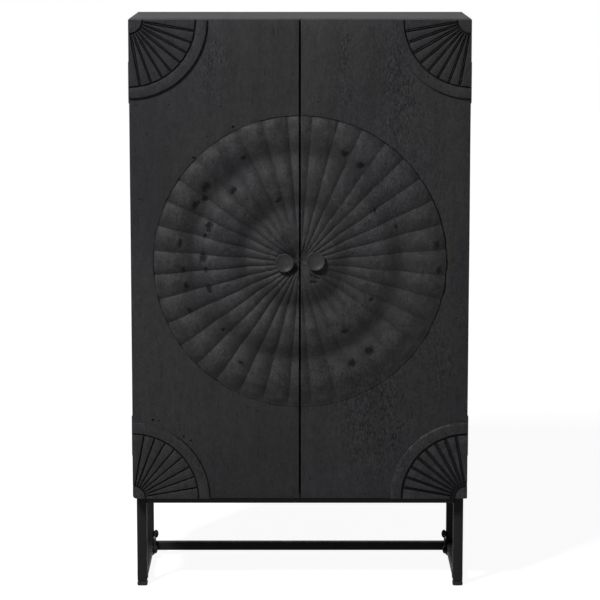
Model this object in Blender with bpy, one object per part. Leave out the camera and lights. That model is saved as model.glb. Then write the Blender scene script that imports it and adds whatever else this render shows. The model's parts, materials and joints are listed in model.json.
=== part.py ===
"""Tall two-door cabinet with a carved sunburst, standing on a steel frame.

Units are metres and +Z is up.  The doors face -Y and the width runs along X.
The origin is the middle of the footprint, at floor level.
"""

import math

import bmesh
import bpy
from mathutils import Vector

# Case
OVERALL_WIDTH = 0.850
OVERALL_HEIGHT = 1.450
OVERALL_DEPTH = 0.400
SIDE_THICKNESS = 0.018
TOP_THICKNESS = 0.020
BOTTOM_THICKNESS = 0.020
BOARD_EDGE = 0.0012
BACK_THICKNESS = 0.006
BACK_INSET = 0.010
BACK_GROOVE_DEPTH = 0.008
SEAT_GAP = 0.0003

# Shelves, housed in grooves across the side panels
SHELF_COUNT = 3
SHELF_THICKNESS = 0.018
SHELF_FRONT_SETBACK = 0.012
SHELF_HOUSING_DEPTH = 0.006

# Doors
DOOR_THICKNESS = 0.022
DOOR_BACK_GAP = 0.002
DOOR_CENTRE_GAP = 0.004
DOOR_SIDE_INSET = 0.0005
DOOR_TOP_DROP = 0.001
DOOR_OVERHANG = 0.005
DOOR_EDGE = 0.0015
WORN_CORNER_RADII = {"left": 0.009, "right": 0.003}
WORN_CORNER_STEPS = 5

# Sunburst medallion, halved by the gap between the doors
MEDALLION_RADIUS = 0.368
MEDALLION_SEAT_DEPTH = 0.006
MEDALLION_RIM_GAP = 0.002
FLUTE_COUNT = 36
FLUTE_CROWN_AT_RIM = 0.0062
FLUTE_CROWN_AT_CENTRE = 0.0013
WAVE_MEAN = 0.0030
WAVE_HEIGHT = 0.0058
WAVE_LENGTH = 0.132
WAVE_RIDGE_RADIUS = 0.326
WAVE_ROUNDNESS = 0.6
RIM_FALL = 0.9
RINGS_IN_HALF_WAVES = (3, 3, 2, 2, 2)
FLUTE_STEPS = 4

# Corner fans
FAN_RADIUS = 0.1946
FAN_BAND_WIDTH = 0.0256
FAN_HUB_RADIUS = 0.0335
FAN_BLADES = 9
FAN_THICKNESS = 0.0070
FAN_GROOVE_DEPTH = 0.0045
FAN_GROOVES_AT_BAND = {"upper_left": 0.0062, "upper_right": 0.0060,
                       "lower_left": 0.0040, "lower_right": 0.0074}
FAN_GROOVES_AT_HUB = {"upper_left": 0.0038, "upper_right": 0.0038,
                      "lower_left": 0.0026, "lower_right": 0.0040}
FAN_RING_GROOVE = 0.0045
FAN_BLADE_STEPS = 2

# Knobs
KNOB_DIAMETER = 0.047
KNOB_PROJECTION = 0.022
KNOB_NECK_DIAMETER = 0.020
KNOB_NECK_LENGTH = 0.008
KNOB_RIM_THICKNESS = 0.005
KNOB_RIM_WIDTH = 0.002
KNOB_DISH_DEPTH = 0.004
KNOB_OFFSET = 0.039
KNOB_RISES = {"left": 0.001, "right": 0.005}
KNOB_CLEARANCE = 0.0004
KNOB_SCREW_DIAMETER = 0.004
KNOB_SCREW_HEAD_DIAMETER = 0.010
KNOB_SCREW_HEAD_HEIGHT = 0.003
KNOB_SCREW_HEAD_FLAT = 0.007
KNOB_SCREW_BITE = 0.012

# Butt hinges
HINGE_LENGTH = 0.100
HINGE_CENTRE_INSET = 0.157
HINGE_BARREL_DIAMETER = 0.0052
HINGE_PIN_DIAMETER = 0.0024
HINGE_PIN_CLEARANCE = 0.0003
HINGE_LEAF_THICKNESS = 0.0015
HINGE_LEAF_MARGIN = 0.002
HINGE_KNUCKLES = 5
HINGE_KNUCKLE_GAP = 0.0004
HINGE_BARREL_CLEARANCE = 0.0006
HINGE_TIP_DIAMETER = 0.0046
HINGE_TIP_FLAT = 0.0028
HINGE_TIP_HEIGHT = 0.002

# Magnetic catch under the top board, and its strike plates
CATCH_WIDTH = 0.050
CATCH_DEPTH = 0.016
CATCH_HEIGHT = 0.014
CATCH_EDGE = 0.001
STRIKE_WIDTH = 0.020
STRIKE_HEIGHT = 0.012
STRIKE_THICKNESS = 0.0010
STRIKE_GAP = 0.0004

# Steel frame
BASE_HEIGHT = 0.243
BASE_TUBE = 0.025
BASE_TUBE_EDGE = 0.0015
BASE_SIDE_INSET = 0.0075
BASE_FRONT_INSET = 0.030
BASE_REAR_INSET = 0.040
FOOT_HEIGHT = 0.014
FOOT_FLANGE = 0.0005
FOOT_EDGE = 0.002
TAB_WIDTH = 0.040
TAB_REACH = 0.024
TAB_THICKNESS = 0.003
TAB_SPACING = 0.520
TAB_HOLE_DIAMETER = 0.0055
TAB_WELD_DEPTH = 0.002

# Rear stretcher and its gusset plates
STRETCHER_TUBE = 0.022
STRETCHER_EDGE = 0.0015
GUSSET_THICKNESS = 0.003
GUSSET_STANDOFF = 0.0025
GUSSET_END_RADIUS = 0.011
GUSSET_RISE = 0.032
GUSSET_RUN = 0.052
BOLT_HEAD_DIAMETER = 0.021
BOLT_HEAD_HEIGHT = 0.0065
BOLT_SHANK_DIAMETER = 0.006
BOLT_BITE = 0.008
BOSS_DIAMETER = 0.016
HOLE_CLEARANCE = 0.0003

# Finishes: colour, roughness and how metallic they are
WOOD = ((0.030, 0.030, 0.031), 0.62)
WOOD_INSIDE = ((0.036, 0.035, 0.034), 0.68)
CARVED_WOOD = ((0.028, 0.028, 0.030), 0.58)
STEEL = ((0.020, 0.020, 0.020), 0.50, 0.2)
HINGE_STEEL = ((0.030, 0.030, 0.030), 0.42, 0.8)
PLATED_STEEL = ((0.42, 0.42, 0.41), 0.35, 1.0)
KNOB_FINISH = ((0.035, 0.035, 0.036), 0.40)
PLASTIC = ((0.015, 0.015, 0.015), 0.55)

# Facets of round forms
ROUND_SEGMENTS = 22
SMALL_SEGMENTS = 10
RECESS_SEGMENTS = 96
BARREL_STEPS = 10
CORNER_STEPS = 4
FLARE_STEPS = 4
DISH_STEPS = 4
DOME_STEPS = 4
SHARP_ANGLE = 32
SOFTENED_ANGLE = 40
CUT_TOLERANCE = 1e-6

# Places that follow from the sizes
HALF_WIDTH = OVERALL_WIDTH / 2
FRONT_Y = (KNOB_PROJECTION - OVERALL_DEPTH) / 2
REAR_Y = FRONT_Y + OVERALL_DEPTH
DOOR_BACK_Y = FRONT_Y + DOOR_THICKNESS
CASE_FRONT_Y = DOOR_BACK_Y + DOOR_BACK_GAP
HINGE_AXIS_Y = DOOR_BACK_Y + DOOR_BACK_GAP / 2
BACK_REAR_Y = REAR_Y - BACK_INSET
BACK_FRONT_Y = BACK_REAR_Y - BACK_THICKNESS
INNER_HALF_WIDTH = HALF_WIDTH - SIDE_THICKNESS
FLOOR_Z = BASE_HEIGHT + BOTTOM_THICKNESS
CEILING_Z = OVERALL_HEIGHT - TOP_THICKNESS
DOOR_TOP_Z = OVERALL_HEIGHT - DOOR_TOP_DROP
DOOR_BOTTOM_Z = BASE_HEIGHT - DOOR_OVERHANG
DOOR_CENTRE_Z = (DOOR_TOP_Z + DOOR_BOTTOM_Z) / 2
DOOR_OUTER_X = HALF_WIDTH - DOOR_SIDE_INSET
DOOR_INNER_X = DOOR_CENTRE_GAP / 2
SEAT_Y = FRONT_Y + MEDALLION_SEAT_DEPTH - SEAT_GAP
HINGE_HEIGHTS = (DOOR_BOTTOM_Z + HINGE_CENTRE_INSET, DOOR_TOP_Z - HINGE_CENTRE_INSET)
FRAME_HALF_WIDTH = HALF_WIDTH - BASE_SIDE_INSET
FRAME_FRONT_Y = FRONT_Y + BASE_FRONT_INSET
FRAME_REAR_Y = REAR_Y - BASE_REAR_INSET
FRAME_INNER_X = FRAME_HALF_WIDTH - BASE_TUBE
SIDES = {"left": -1, "right": 1}


def clear_scene():
    """Remove every object that the file starts with."""
    for item in list(bpy.data.objects):
        bpy.data.objects.remove(item, do_unlink=True)


def make_material(name, colour, roughness, metallic=0.0):
    """Return a Principled material of one colour."""
    material = bpy.data.materials.new(name)
    material.use_nodes = True
    shader = material.node_tree.nodes["Principled BSDF"]
    shader.inputs["Base Color"].default_value = (*colour, 1.0)
    shader.inputs["Roughness"].default_value = roughness
    shader.inputs["Metallic"].default_value = metallic
    material.diffuse_color = (*colour, 1.0)
    return material


def make_object(name, shape, origin, material, parent=None, edge=0.0):
    """Turn a bmesh in world places into an object whose origin is at the given point."""
    origin = Vector(origin)
    bmesh.ops.translate(shape, verts=shape.verts, vec=-origin)
    bmesh.ops.recalc_face_normals(shape, faces=shape.faces)
    mesh = bpy.data.meshes.new(name)
    shape.to_mesh(mesh)
    shape.free()
    mesh.shade_smooth()
    mesh.set_sharp_from_angle(angle=math.radians(SHARP_ANGLE))
    item = bpy.data.objects.new(name, mesh)
    bpy.context.scene.collection.objects.link(item)
    item.parent = parent
    item.location = origin - (parent.location if parent else Vector())
    if material:
        mesh.materials.append(make_material(name + "_finish", *material))
    if edge > 0:
        bevel = item.modifiers.new("softened_edges", "BEVEL")
        bevel.width = edge
        bevel.segments = 1
        bevel.limit_method = "ANGLE"
        bevel.angle_limit = math.radians(SOFTENED_ANGLE)
    return item


def make_cutter(name, shape, parent=None):
    """Turn a bmesh in world places into a hidden tool for Boolean cuts."""
    cutter = make_object(name, shape, (0, 0, 0), None, parent)
    cutter.hide_render = True
    cutter.display_type = "WIRE"
    return cutter


def combine(item, tool, operation="DIFFERENCE"):
    """Cut the tool out of the item, or weld it on, with an exact Boolean."""
    change = item.modifiers.new(tool.name, "BOOLEAN")
    change.operation = operation
    change.solver = "EXACT"
    change.object = tool


def add_box(shape, low, high):
    """Add a box between two corners."""
    made = bmesh.ops.create_cube(shape, size=1.0)["verts"]
    size = Vector(high) - Vector(low)
    middle = (Vector(high) + Vector(low)) / 2
    bmesh.ops.scale(shape, verts=made, vec=size)
    bmesh.ops.translate(shape, verts=made, vec=middle)


def add_turned(shape, profile, base, direction, segments):
    """Add a solid of revolution whose profile of (radius, distance) starts and ends on the axis."""
    turn = Vector((0, 0, 1)).rotation_difference(Vector(direction)).to_matrix()
    base = Vector(base)

    def place(radius, distance, angle):
        """Return one point of the turned surface."""
        local = Vector((radius * math.cos(angle), radius * math.sin(angle), distance))
        return shape.verts.new(base + turn @ local)

    angles = [2 * math.pi * k / segments for k in range(segments)]
    start = place(0, profile[0][1], 0)
    end = place(0, profile[-1][1], 0)
    rings = [[place(radius, distance, angle) for angle in angles] for radius, distance in profile[1:-1]]
    for k in range(segments):
        after = (k + 1) % segments
        shape.faces.new((start, rings[0][k], rings[0][after]))
        shape.faces.new((end, rings[-1][after], rings[-1][k]))
        for lower, upper in zip(rings, rings[1:]):
            shape.faces.new((lower[k], upper[k], upper[after], lower[after]))


def add_rod(shape, radius, base, direction, length, segments=SMALL_SEGMENTS):
    """Add a plain cylinder that runs from its base along a direction."""
    add_turned(shape, [(0, 0), (radius, 0), (radius, length), (0, length)], base, direction, segments)


def extrude(shape, faces, offset):
    """Extrude faces by an offset and leave the faces that they started from."""
    made = bmesh.ops.extrude_face_region(shape, geom=faces)["geom"]
    moved = [part for part in made if isinstance(part, bmesh.types.BMVert)]
    bmesh.ops.translate(shape, verts=moved, vec=offset)


def add_prism(shape, outline, axis, start, end):
    """Add an outline of pairs, swept along X (pairs are y, z), Y (x, z) or Z (x, y)."""
    if axis == "X":
        points, offset = [(start, *pair) for pair in outline], (end - start, 0, 0)
    elif axis == "Y":
        points, offset = [(pair[0], start, pair[1]) for pair in outline], (0, end - start, 0)
    else:
        points, offset = [(*pair, start) for pair in outline], (0, 0, end - start)
    extrude(shape, [shape.faces.new([shape.verts.new(point) for point in points])], offset)


def arc(centre, radius, start, end, steps):
    """Return points on an arc, with both ends, for angles in degrees."""
    points = []
    for k in range(steps + 1):
        angle = math.radians(start + (end - start) * k / steps)
        points.append((centre[0] + radius * math.cos(angle), centre[1] + radius * math.sin(angle)))
    return points


def shelf_bottoms():
    """Return the height of each shelf's underside, evenly spaced inside the case."""
    clear = CEILING_Z - FLOOR_Z - SHELF_COUNT * SHELF_THICKNESS
    bay = clear / (SHELF_COUNT + 1)
    return [FLOOR_Z + bay * (k + 1) + SHELF_THICKNESS * k for k in range(SHELF_COUNT)]


def build_case():
    """Build the boards of the case, with the back and the shelves housed in their grooves."""
    groove = bmesh.new()
    add_box(groove,
            (-INNER_HALF_WIDTH - BACK_GROOVE_DEPTH, BACK_FRONT_Y - SEAT_GAP, FLOOR_Z - BACK_GROOVE_DEPTH),
            (INNER_HALF_WIDTH + BACK_GROOVE_DEPTH, BACK_REAR_Y + SEAT_GAP, CEILING_Z + BACK_GROOVE_DEPTH))
    back_groove = make_cutter("back_groove", groove)

    housed = INNER_HALF_WIDTH + SHELF_HOUSING_DEPTH
    housings = bmesh.new()
    for bottom in shelf_bottoms():
        add_box(housings, (-housed, CASE_FRONT_Y + SHELF_FRONT_SETBACK - SEAT_GAP, bottom - SEAT_GAP),
                (housed, BACK_FRONT_Y, bottom + SHELF_THICKNESS + SEAT_GAP))
    shelf_housings = make_cutter("shelf_housings", housings)

    for name, side in SIDES.items():
        panel = bmesh.new()
        inner, outer = side * INNER_HALF_WIDTH, side * HALF_WIDTH
        add_box(panel, (min(inner, outer), CASE_FRONT_Y, FLOOR_Z + SEAT_GAP),
                (max(inner, outer), REAR_Y, CEILING_Z - SEAT_GAP))
        item = make_object("side_panel_" + name, panel, (outer, 0, BASE_HEIGHT), WOOD, edge=BOARD_EDGE)
        combine(item, back_groove)
        combine(item, shelf_housings)
        seat_hinges(item, side, "side_panel_" + name)

    levels = {"top_panel": (CEILING_Z, OVERALL_HEIGHT), "bottom_panel": (BASE_HEIGHT, FLOOR_Z)}
    for name, (low, high) in levels.items():
        board = bmesh.new()
        add_box(board, (-HALF_WIDTH, CASE_FRONT_Y, low), (HALF_WIDTH, REAR_Y, high))
        item = make_object(name, board, (0, 0, low), WOOD, edge=BOARD_EDGE)
        combine(item, back_groove)

    back = bmesh.new()
    reach = BACK_GROOVE_DEPTH - SEAT_GAP
    add_box(back, (-INNER_HALF_WIDTH - reach, BACK_FRONT_Y, FLOOR_Z - reach),
            (INNER_HALF_WIDTH + reach, BACK_REAR_Y, CEILING_Z + reach))
    make_object("back_panel", back, (0, BACK_REAR_Y, FLOOR_Z), WOOD_INSIDE)

    names = ["shelf_lower", "shelf_middle", "shelf_upper"] + [f"shelf_{k}" for k in range(4, SHELF_COUNT + 1)]
    for name, bottom in zip(names, shelf_bottoms()):
        shelf = bmesh.new()
        half = housed - SEAT_GAP
        add_box(shelf, (-half, CASE_FRONT_Y + SHELF_FRONT_SETBACK, bottom),
                (half, BACK_FRONT_Y - SEAT_GAP, bottom + SHELF_THICKNESS))
        make_object(name, shelf, (0, 0, bottom), WOOD_INSIDE, edge=BOARD_EDGE)


def relief_wave(radius):
    """Return the height of the rings of pillows that cross the flutes, at a radius."""
    if radius > WAVE_RIDGE_RADIUS:
        from_crest = RIM_FALL * (radius - WAVE_RIDGE_RADIUS) / (MEDALLION_RADIUS - WAVE_RIDGE_RADIUS)
    else:
        half_waves = (WAVE_RIDGE_RADIUS - radius) / (WAVE_LENGTH / 2)
        from_crest = 1 - abs(half_waves % 2 - 1)
    rounded = 1 - 2 * from_crest ** 2
    return WAVE_MEAN + WAVE_HEIGHT * (WAVE_ROUNDNESS * rounded
                                      + (1 - WAVE_ROUNDNESS) * math.cos(math.pi * from_crest))


def relief_radii():
    """Return the radii of the medallion's rings, with one on each crest and each hollow."""
    radii = [MEDALLION_RADIUS, (MEDALLION_RADIUS + WAVE_RIDGE_RADIUS) / 2]
    crest_or_hollow = WAVE_RIDGE_RADIUS
    for rings in RINGS_IN_HALF_WAVES:
        radii += [crest_or_hollow - WAVE_LENGTH / 2 * k / rings for k in range(rings)]
        crest_or_hollow -= WAVE_LENGTH / 2
    return sorted(radii)


def relief_height(radius, angle):
    """Return the carved surface's height over the door face at a place on the sunburst."""
    pitch = 2 * math.pi / FLUTE_COUNT
    across = (angle / pitch + 0.5) % 1.0 * 2 - 1
    share = radius / MEDALLION_RADIUS
    crown = FLUTE_CROWN_AT_CENTRE + (FLUTE_CROWN_AT_RIM - FLUTE_CROWN_AT_CENTRE) * share
    return relief_wave(radius) + crown * (1 - across * across)


def medallion_shape():
    """Return the whole carved disc as a closed bmesh."""
    shape = bmesh.new()
    count = FLUTE_COUNT * FLUTE_STEPS
    angles = [2 * math.pi * k / count for k in range(count)]

    def carved(radius, angle):
        """Return one vertex of the carved face."""
        return shape.verts.new((radius * math.cos(angle), FRONT_Y - relief_height(radius, angle),
                                DOOR_CENTRE_Z + radius * math.sin(angle)))

    middle = carved(0, 0)
    rings = [[carved(radius, angle) for angle in angles] for radius in relief_radii()]
    foot = [shape.verts.new((MEDALLION_RADIUS * math.cos(angle), SEAT_Y,
                             DOOR_CENTRE_Z + MEDALLION_RADIUS * math.sin(angle))) for angle in angles]
    for k in range(count):
        after = (k + 1) % count
        shape.faces.new((middle, rings[0][k], rings[0][after]))
        for inner, outer in zip(rings, rings[1:] + [foot]):
            shape.faces.new((inner[k], outer[k], outer[after], inner[after]))
    shape.faces.new(foot)
    bmesh.ops.recalc_face_normals(shape, faces=shape.faces)
    return shape


def knob_height(name):
    """Return the height of a door's knob, which sits a little over the sunburst's centre."""
    return DOOR_CENTRE_Z + KNOB_RISES[name]


def build_medallion(name, side, axis):
    """Build the half of the sunburst that one door carries, with the knob's hole through it."""
    shape = medallion_shape()
    geometry = shape.verts[:] + shape.edges[:] + shape.faces[:]
    cut = bmesh.ops.bisect_plane(shape, geom=geometry, plane_co=(side * DOOR_INNER_X, 0, 0),
                                 plane_no=(-side, 0, 0), clear_outer=True,
                                 dist=CUT_TOLERANCE)["geom_cut"]
    edges = [part for part in cut if isinstance(part, bmesh.types.BMEdge)]
    bmesh.ops.edgenet_fill(shape, edges=edges)
    item = make_object("medallion_" + name, shape, (side * DOOR_INNER_X, FRONT_Y, DOOR_CENTRE_Z),
                       CARVED_WOOD, axis)
    hole = bmesh.new()
    depth = MEDALLION_SEAT_DEPTH + KNOB_PROJECTION
    add_rod(hole, KNOB_NECK_DIAMETER / 2 + KNOB_CLEARANCE,
            (side * KNOB_OFFSET, FRONT_Y + MEDALLION_SEAT_DEPTH, knob_height(name)),
            (0, -1, 0), depth, ROUND_SEGMENTS)
    combine(item, make_cutter("knob_hole_" + name, hole, axis))


def wear_corner(item, name, side, label, axis):
    """Round the lower outer corner off a door, or off the fan that sits on it."""
    radius = WORN_CORNER_RADII[name]
    centre = (DOOR_OUTER_X - radius, DOOR_BOTTOM_Z + radius)
    outline = arc(centre, radius, -90, 0, WORN_CORNER_STEPS)
    outline += [(DOOR_OUTER_X + radius, centre[1]), (DOOR_OUTER_X + radius, DOOR_BOTTOM_Z - radius),
                (centre[0], DOOR_BOTTOM_Z - radius)]
    waste = bmesh.new()
    add_prism(waste, [(side * x, z) for x, z in outline], "Y", FRONT_Y - 2 * FAN_THICKNESS,
              DOOR_BACK_Y + FAN_THICKNESS)
    combine(item, make_cutter(f"worn_corner_{label}_{name}", waste, axis))


def groove_half_angle(fan, radius):
    """Return half the angle that one fan's groove takes at a radius, in degrees."""
    inner, outer = FAN_HUB_RADIUS, FAN_RADIUS - FAN_BAND_WIDTH
    share = min(1, max(0, (radius - inner) / (outer - inner)))
    width = FAN_GROOVES_AT_HUB[fan] + (FAN_GROOVES_AT_BAND[fan] - FAN_GROOVES_AT_HUB[fan]) * share
    return math.degrees(math.asin(min(1, width / 2 / radius)))


def fan_angles(fan, radius):
    """Return the angles of a fan's blade and groove edges at a radius, and which spans are grooves."""
    pitch = 90 / FAN_BLADES
    angles, is_groove = [0.0], []
    half = groove_half_angle(fan, radius)
    for blade in range(FAN_BLADES):
        start = angles[-1]
        end = 90.0 if blade == FAN_BLADES - 1 else pitch * (blade + 1) - half
        for step in range(FAN_BLADE_STEPS):
            angles.append(start + (end - start) * (step + 1) / FAN_BLADE_STEPS)
            is_groove.append(False)
        if blade < FAN_BLADES - 1:
            angles.append(pitch * (blade + 1) + half)
            is_groove.append(True)
    return angles, is_groove


def build_fan(name, side, level, axis):
    """Build one corner fan: a hub, blades and a band that stand over carved grooves."""
    fan = f"{level}_{name}"
    corner = (side * DOOR_OUTER_X, DOOR_TOP_Z if level == "upper" else DOOR_BOTTOM_Z)
    down = -1 if level == "upper" else 1
    band_inner = FAN_RADIUS - FAN_BAND_WIDTH
    radii = [FAN_HUB_RADIUS, FAN_HUB_RADIUS + FAN_RING_GROOVE, band_inner - FAN_RING_GROOVE, band_inner,
             FAN_RADIUS]
    base_y = FRONT_Y - SEAT_GAP
    low_y = base_y - (FAN_THICKNESS - FAN_GROOVE_DEPTH)
    shape = bmesh.new()

    def place(radius, degrees):
        """Return a vertex of the fan's low surface."""
        angle = math.radians(degrees)
        return shape.verts.new((corner[0] - side * radius * math.cos(angle), low_y,
                                corner[1] + down * radius * math.sin(angle)))

    grooves = fan_angles(fan, radii[0])[1]
    rows = [[place(radius, degrees) for degrees in fan_angles(fan, radius)[0]] for radius in radii]
    centre = place(0, 0)
    raised = []
    for column, is_groove in enumerate(grooves):
        raised.append(shape.faces.new((centre, rows[0][column], rows[0][column + 1])))
        for row in range(len(rows) - 1):
            face = shape.faces.new((rows[row][column], rows[row + 1][column],
                                    rows[row + 1][column + 1], rows[row][column + 1]))
            blade = row == 1 and not is_groove
            if blade or row == len(rows) - 2:
                raised.append(face)
    extrude(shape, shape.faces[:], (0, base_y - low_y, 0))
    extrude(shape, raised, (0, -FAN_GROOVE_DEPTH, 0))
    bmesh.ops.delete(shape, geom=raised, context="FACES")
    item = make_object("corner_fan_" + fan, shape, (corner[0], FRONT_Y, corner[1]), CARVED_WOOD, axis)
    if level == "lower":
        wear_corner(item, name, side, "fan", axis)


def knob_profile():
    """Return the knob's turned profile, from its screw hole out and round to the dished face."""
    length = KNOB_PROJECTION + MEDALLION_SEAT_DEPTH - SEAT_GAP
    bore = KNOB_SCREW_DIAMETER / 2 + HOLE_CLEARANCE
    bore_depth = KNOB_SCREW_BITE + HOLE_CLEARANCE
    neck, rim = KNOB_NECK_DIAMETER / 2, KNOB_DIAMETER / 2
    flare_start = MEDALLION_SEAT_DEPTH + KNOB_NECK_LENGTH
    flare_end = length - KNOB_RIM_THICKNESS
    profile = [(0, bore_depth), (bore, bore_depth), (bore, 0), (neck, 0)]
    for k in range(FLARE_STEPS + 1):
        turn = math.pi / 2 * k / FLARE_STEPS
        profile.append((neck + (rim - neck) * (1 - math.cos(turn)),
                        flare_start + (flare_end - flare_start) * math.sin(turn)))
    profile.append((rim, length - KNOB_RIM_WIDTH / 2))
    profile.append((rim - KNOB_RIM_WIDTH / 2, length))
    dish = rim - KNOB_RIM_WIDTH
    for k in range(DISH_STEPS + 1):
        radius = dish * (1 - k / DISH_STEPS)
        profile.append((radius, length - KNOB_DISH_DEPTH * (1 - (radius / dish) ** 2)))
    return profile


def build_knob(name, side, axis):
    """Build a door's knob, seated in the medallion's hole, and the screw that holds it."""
    shape = bmesh.new()
    seat = (side * KNOB_OFFSET, SEAT_Y, knob_height(name))
    add_turned(shape, knob_profile(), seat, (0, -1, 0), ROUND_SEGMENTS)
    make_object("knob_" + name, shape, seat, KNOB_FINISH, axis)
    screw = bmesh.new()
    shank = KNOB_SCREW_DIAMETER / 2
    head = KNOB_SCREW_HEAD_DIAMETER / 2
    reach = KNOB_SCREW_HEAD_HEIGHT + SEAT_GAP + DOOR_BACK_Y - SEAT_Y + KNOB_SCREW_BITE
    profile = [(0, 0), (KNOB_SCREW_HEAD_FLAT / 2, 0), (head, KNOB_SCREW_HEAD_HEIGHT / 2),
               (head, KNOB_SCREW_HEAD_HEIGHT), (shank, KNOB_SCREW_HEAD_HEIGHT), (shank, reach), (0, reach)]
    start = (side * KNOB_OFFSET, DOOR_BACK_Y + SEAT_GAP + KNOB_SCREW_HEAD_HEIGHT, knob_height(name))
    add_turned(screw, profile, start, (0, -1, 0), SMALL_SEGMENTS)
    make_object("knob_screw_" + name, screw, start, PLATED_STEEL, axis)


def leaf_reach():
    """Return how far a hinge leaf reaches inwards from the pin, within the side panel's edge."""
    return SIDE_THICKNESS - HINGE_LEAF_MARGIN


def seat_hinges(item, side, label, axis=None):
    """Cut the leaf mortises and the barrels' hollows into a side panel or a door."""
    mortises, hollows = bmesh.new(), bmesh.new()
    half = DOOR_BACK_GAP / 2 + HINGE_LEAF_THICKNESS + SEAT_GAP
    radius = HINGE_BARREL_DIAMETER / 2 + HINGE_BARREL_CLEARANCE
    tip = HINGE_TIP_HEIGHT + HINGE_BARREL_CLEARANCE
    for height in HINGE_HEIGHTS:
        low_z, high_z = height - HINGE_LENGTH / 2 - SEAT_GAP, height + HINGE_LENGTH / 2 + SEAT_GAP
        near, far = side * (HALF_WIDTH + radius), side * (HALF_WIDTH - leaf_reach() - SEAT_GAP)
        add_box(mortises, (min(near, far), HINGE_AXIS_Y - half, low_z),
                (max(near, far), HINGE_AXIS_Y + half, high_z))
        add_rod(hollows, radius, (side * HALF_WIDTH, HINGE_AXIS_Y, low_z - tip), (0, 0, 1),
                high_z - low_z + 2 * tip, 2 * SMALL_SEGMENTS)
    combine(item, make_cutter("leaf_mortises_" + label, mortises, axis))
    combine(item, make_cutter("barrel_hollows_" + label, hollows, axis))


def leaf_outline(side, facing):
    """Return a leaf's section: a plate that runs into the barrel.  Facing is -1 for the door's leaf."""
    radius = HINGE_BARREL_DIAMETER / 2
    near = DOOR_BACK_GAP / 2
    far = near + HINGE_LEAF_THICKNESS
    first = math.degrees(math.asin(min(1, far / radius)))
    last = math.degrees(math.asin(min(1, near / radius)))
    outline = arc((0, 0), radius, first, 360 + last, BARREL_STEPS)
    outline += [(leaf_reach(), near), (leaf_reach(), far)]
    return [(side * (HALF_WIDTH - u), HINGE_AXIS_Y + facing * v) for u, v in outline]


def build_hinge(name, side, level, height, axis):
    """Build a butt hinge: a leaf on the side panel, a leaf on the door, and the pin through both."""
    knuckle = HINGE_LENGTH / HINGE_KNUCKLES
    bottom = height - HINGE_LENGTH / 2
    radius = HINGE_BARREL_DIAMETER / 2
    label = f"{level}_{name}"
    bore = bmesh.new()
    add_rod(bore, HINGE_PIN_DIAMETER / 2 + HINGE_PIN_CLEARANCE,
            (side * HALF_WIDTH, HINGE_AXIS_Y, bottom - radius), (0, 0, 1), HINGE_LENGTH + 2 * radius)
    pin_bore = make_cutter("pin_bore_" + label, bore)
    kinds = {"frame": (1, 1, None), "door": (-1, 0, axis)}
    for kind, (facing, first_slot, parent) in kinds.items():
        shape = bmesh.new()
        add_prism(shape, leaf_outline(side, facing), "Z", bottom, bottom + HINGE_LENGTH)
        item = make_object(f"hinge_{kind}_leaf_{label}", shape, (side * HALF_WIDTH, HINGE_AXIS_Y, height),
                           HINGE_STEEL, parent)
        slots = bmesh.new()
        clear = radius + HINGE_BARREL_CLEARANCE
        for slot in range(first_slot, HINGE_KNUCKLES, 2):
            low = bottom + knuckle * slot - HINGE_KNUCKLE_GAP / 2
            high = bottom + knuckle * (slot + 1) + HINGE_KNUCKLE_GAP / 2
            low -= radius if slot == 0 else 0
            high += radius if slot == HINGE_KNUCKLES - 1 else 0
            add_box(slots, (side * HALF_WIDTH - clear, HINGE_AXIS_Y - clear, low),
                    (side * HALF_WIDTH + clear, HINGE_AXIS_Y + clear, high))
        combine(item, make_cutter(f"{kind}_slots_{label}", slots, parent))
        combine(item, pin_bore)
    pin = bmesh.new()
    shank, tip, flat = HINGE_PIN_DIAMETER / 2, HINGE_TIP_DIAMETER / 2, HINGE_TIP_FLAT / 2
    length = HINGE_LENGTH + 2 * SEAT_GAP
    profile = [(0, -HINGE_TIP_HEIGHT), (flat, -HINGE_TIP_HEIGHT), (tip, -HINGE_TIP_HEIGHT / 2), (tip, 0),
               (shank, 0), (shank, length), (tip, length), (tip, length + HINGE_TIP_HEIGHT / 2),
               (flat, length + HINGE_TIP_HEIGHT), (0, length + HINGE_TIP_HEIGHT)]
    add_turned(pin, profile, (side * HALF_WIDTH, HINGE_AXIS_Y, bottom - SEAT_GAP), (0, 0, 1), SMALL_SEGMENTS)
    make_object("hinge_pin_" + label, pin, (side * HALF_WIDTH, HINGE_AXIS_Y, height), HINGE_STEEL)


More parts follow.
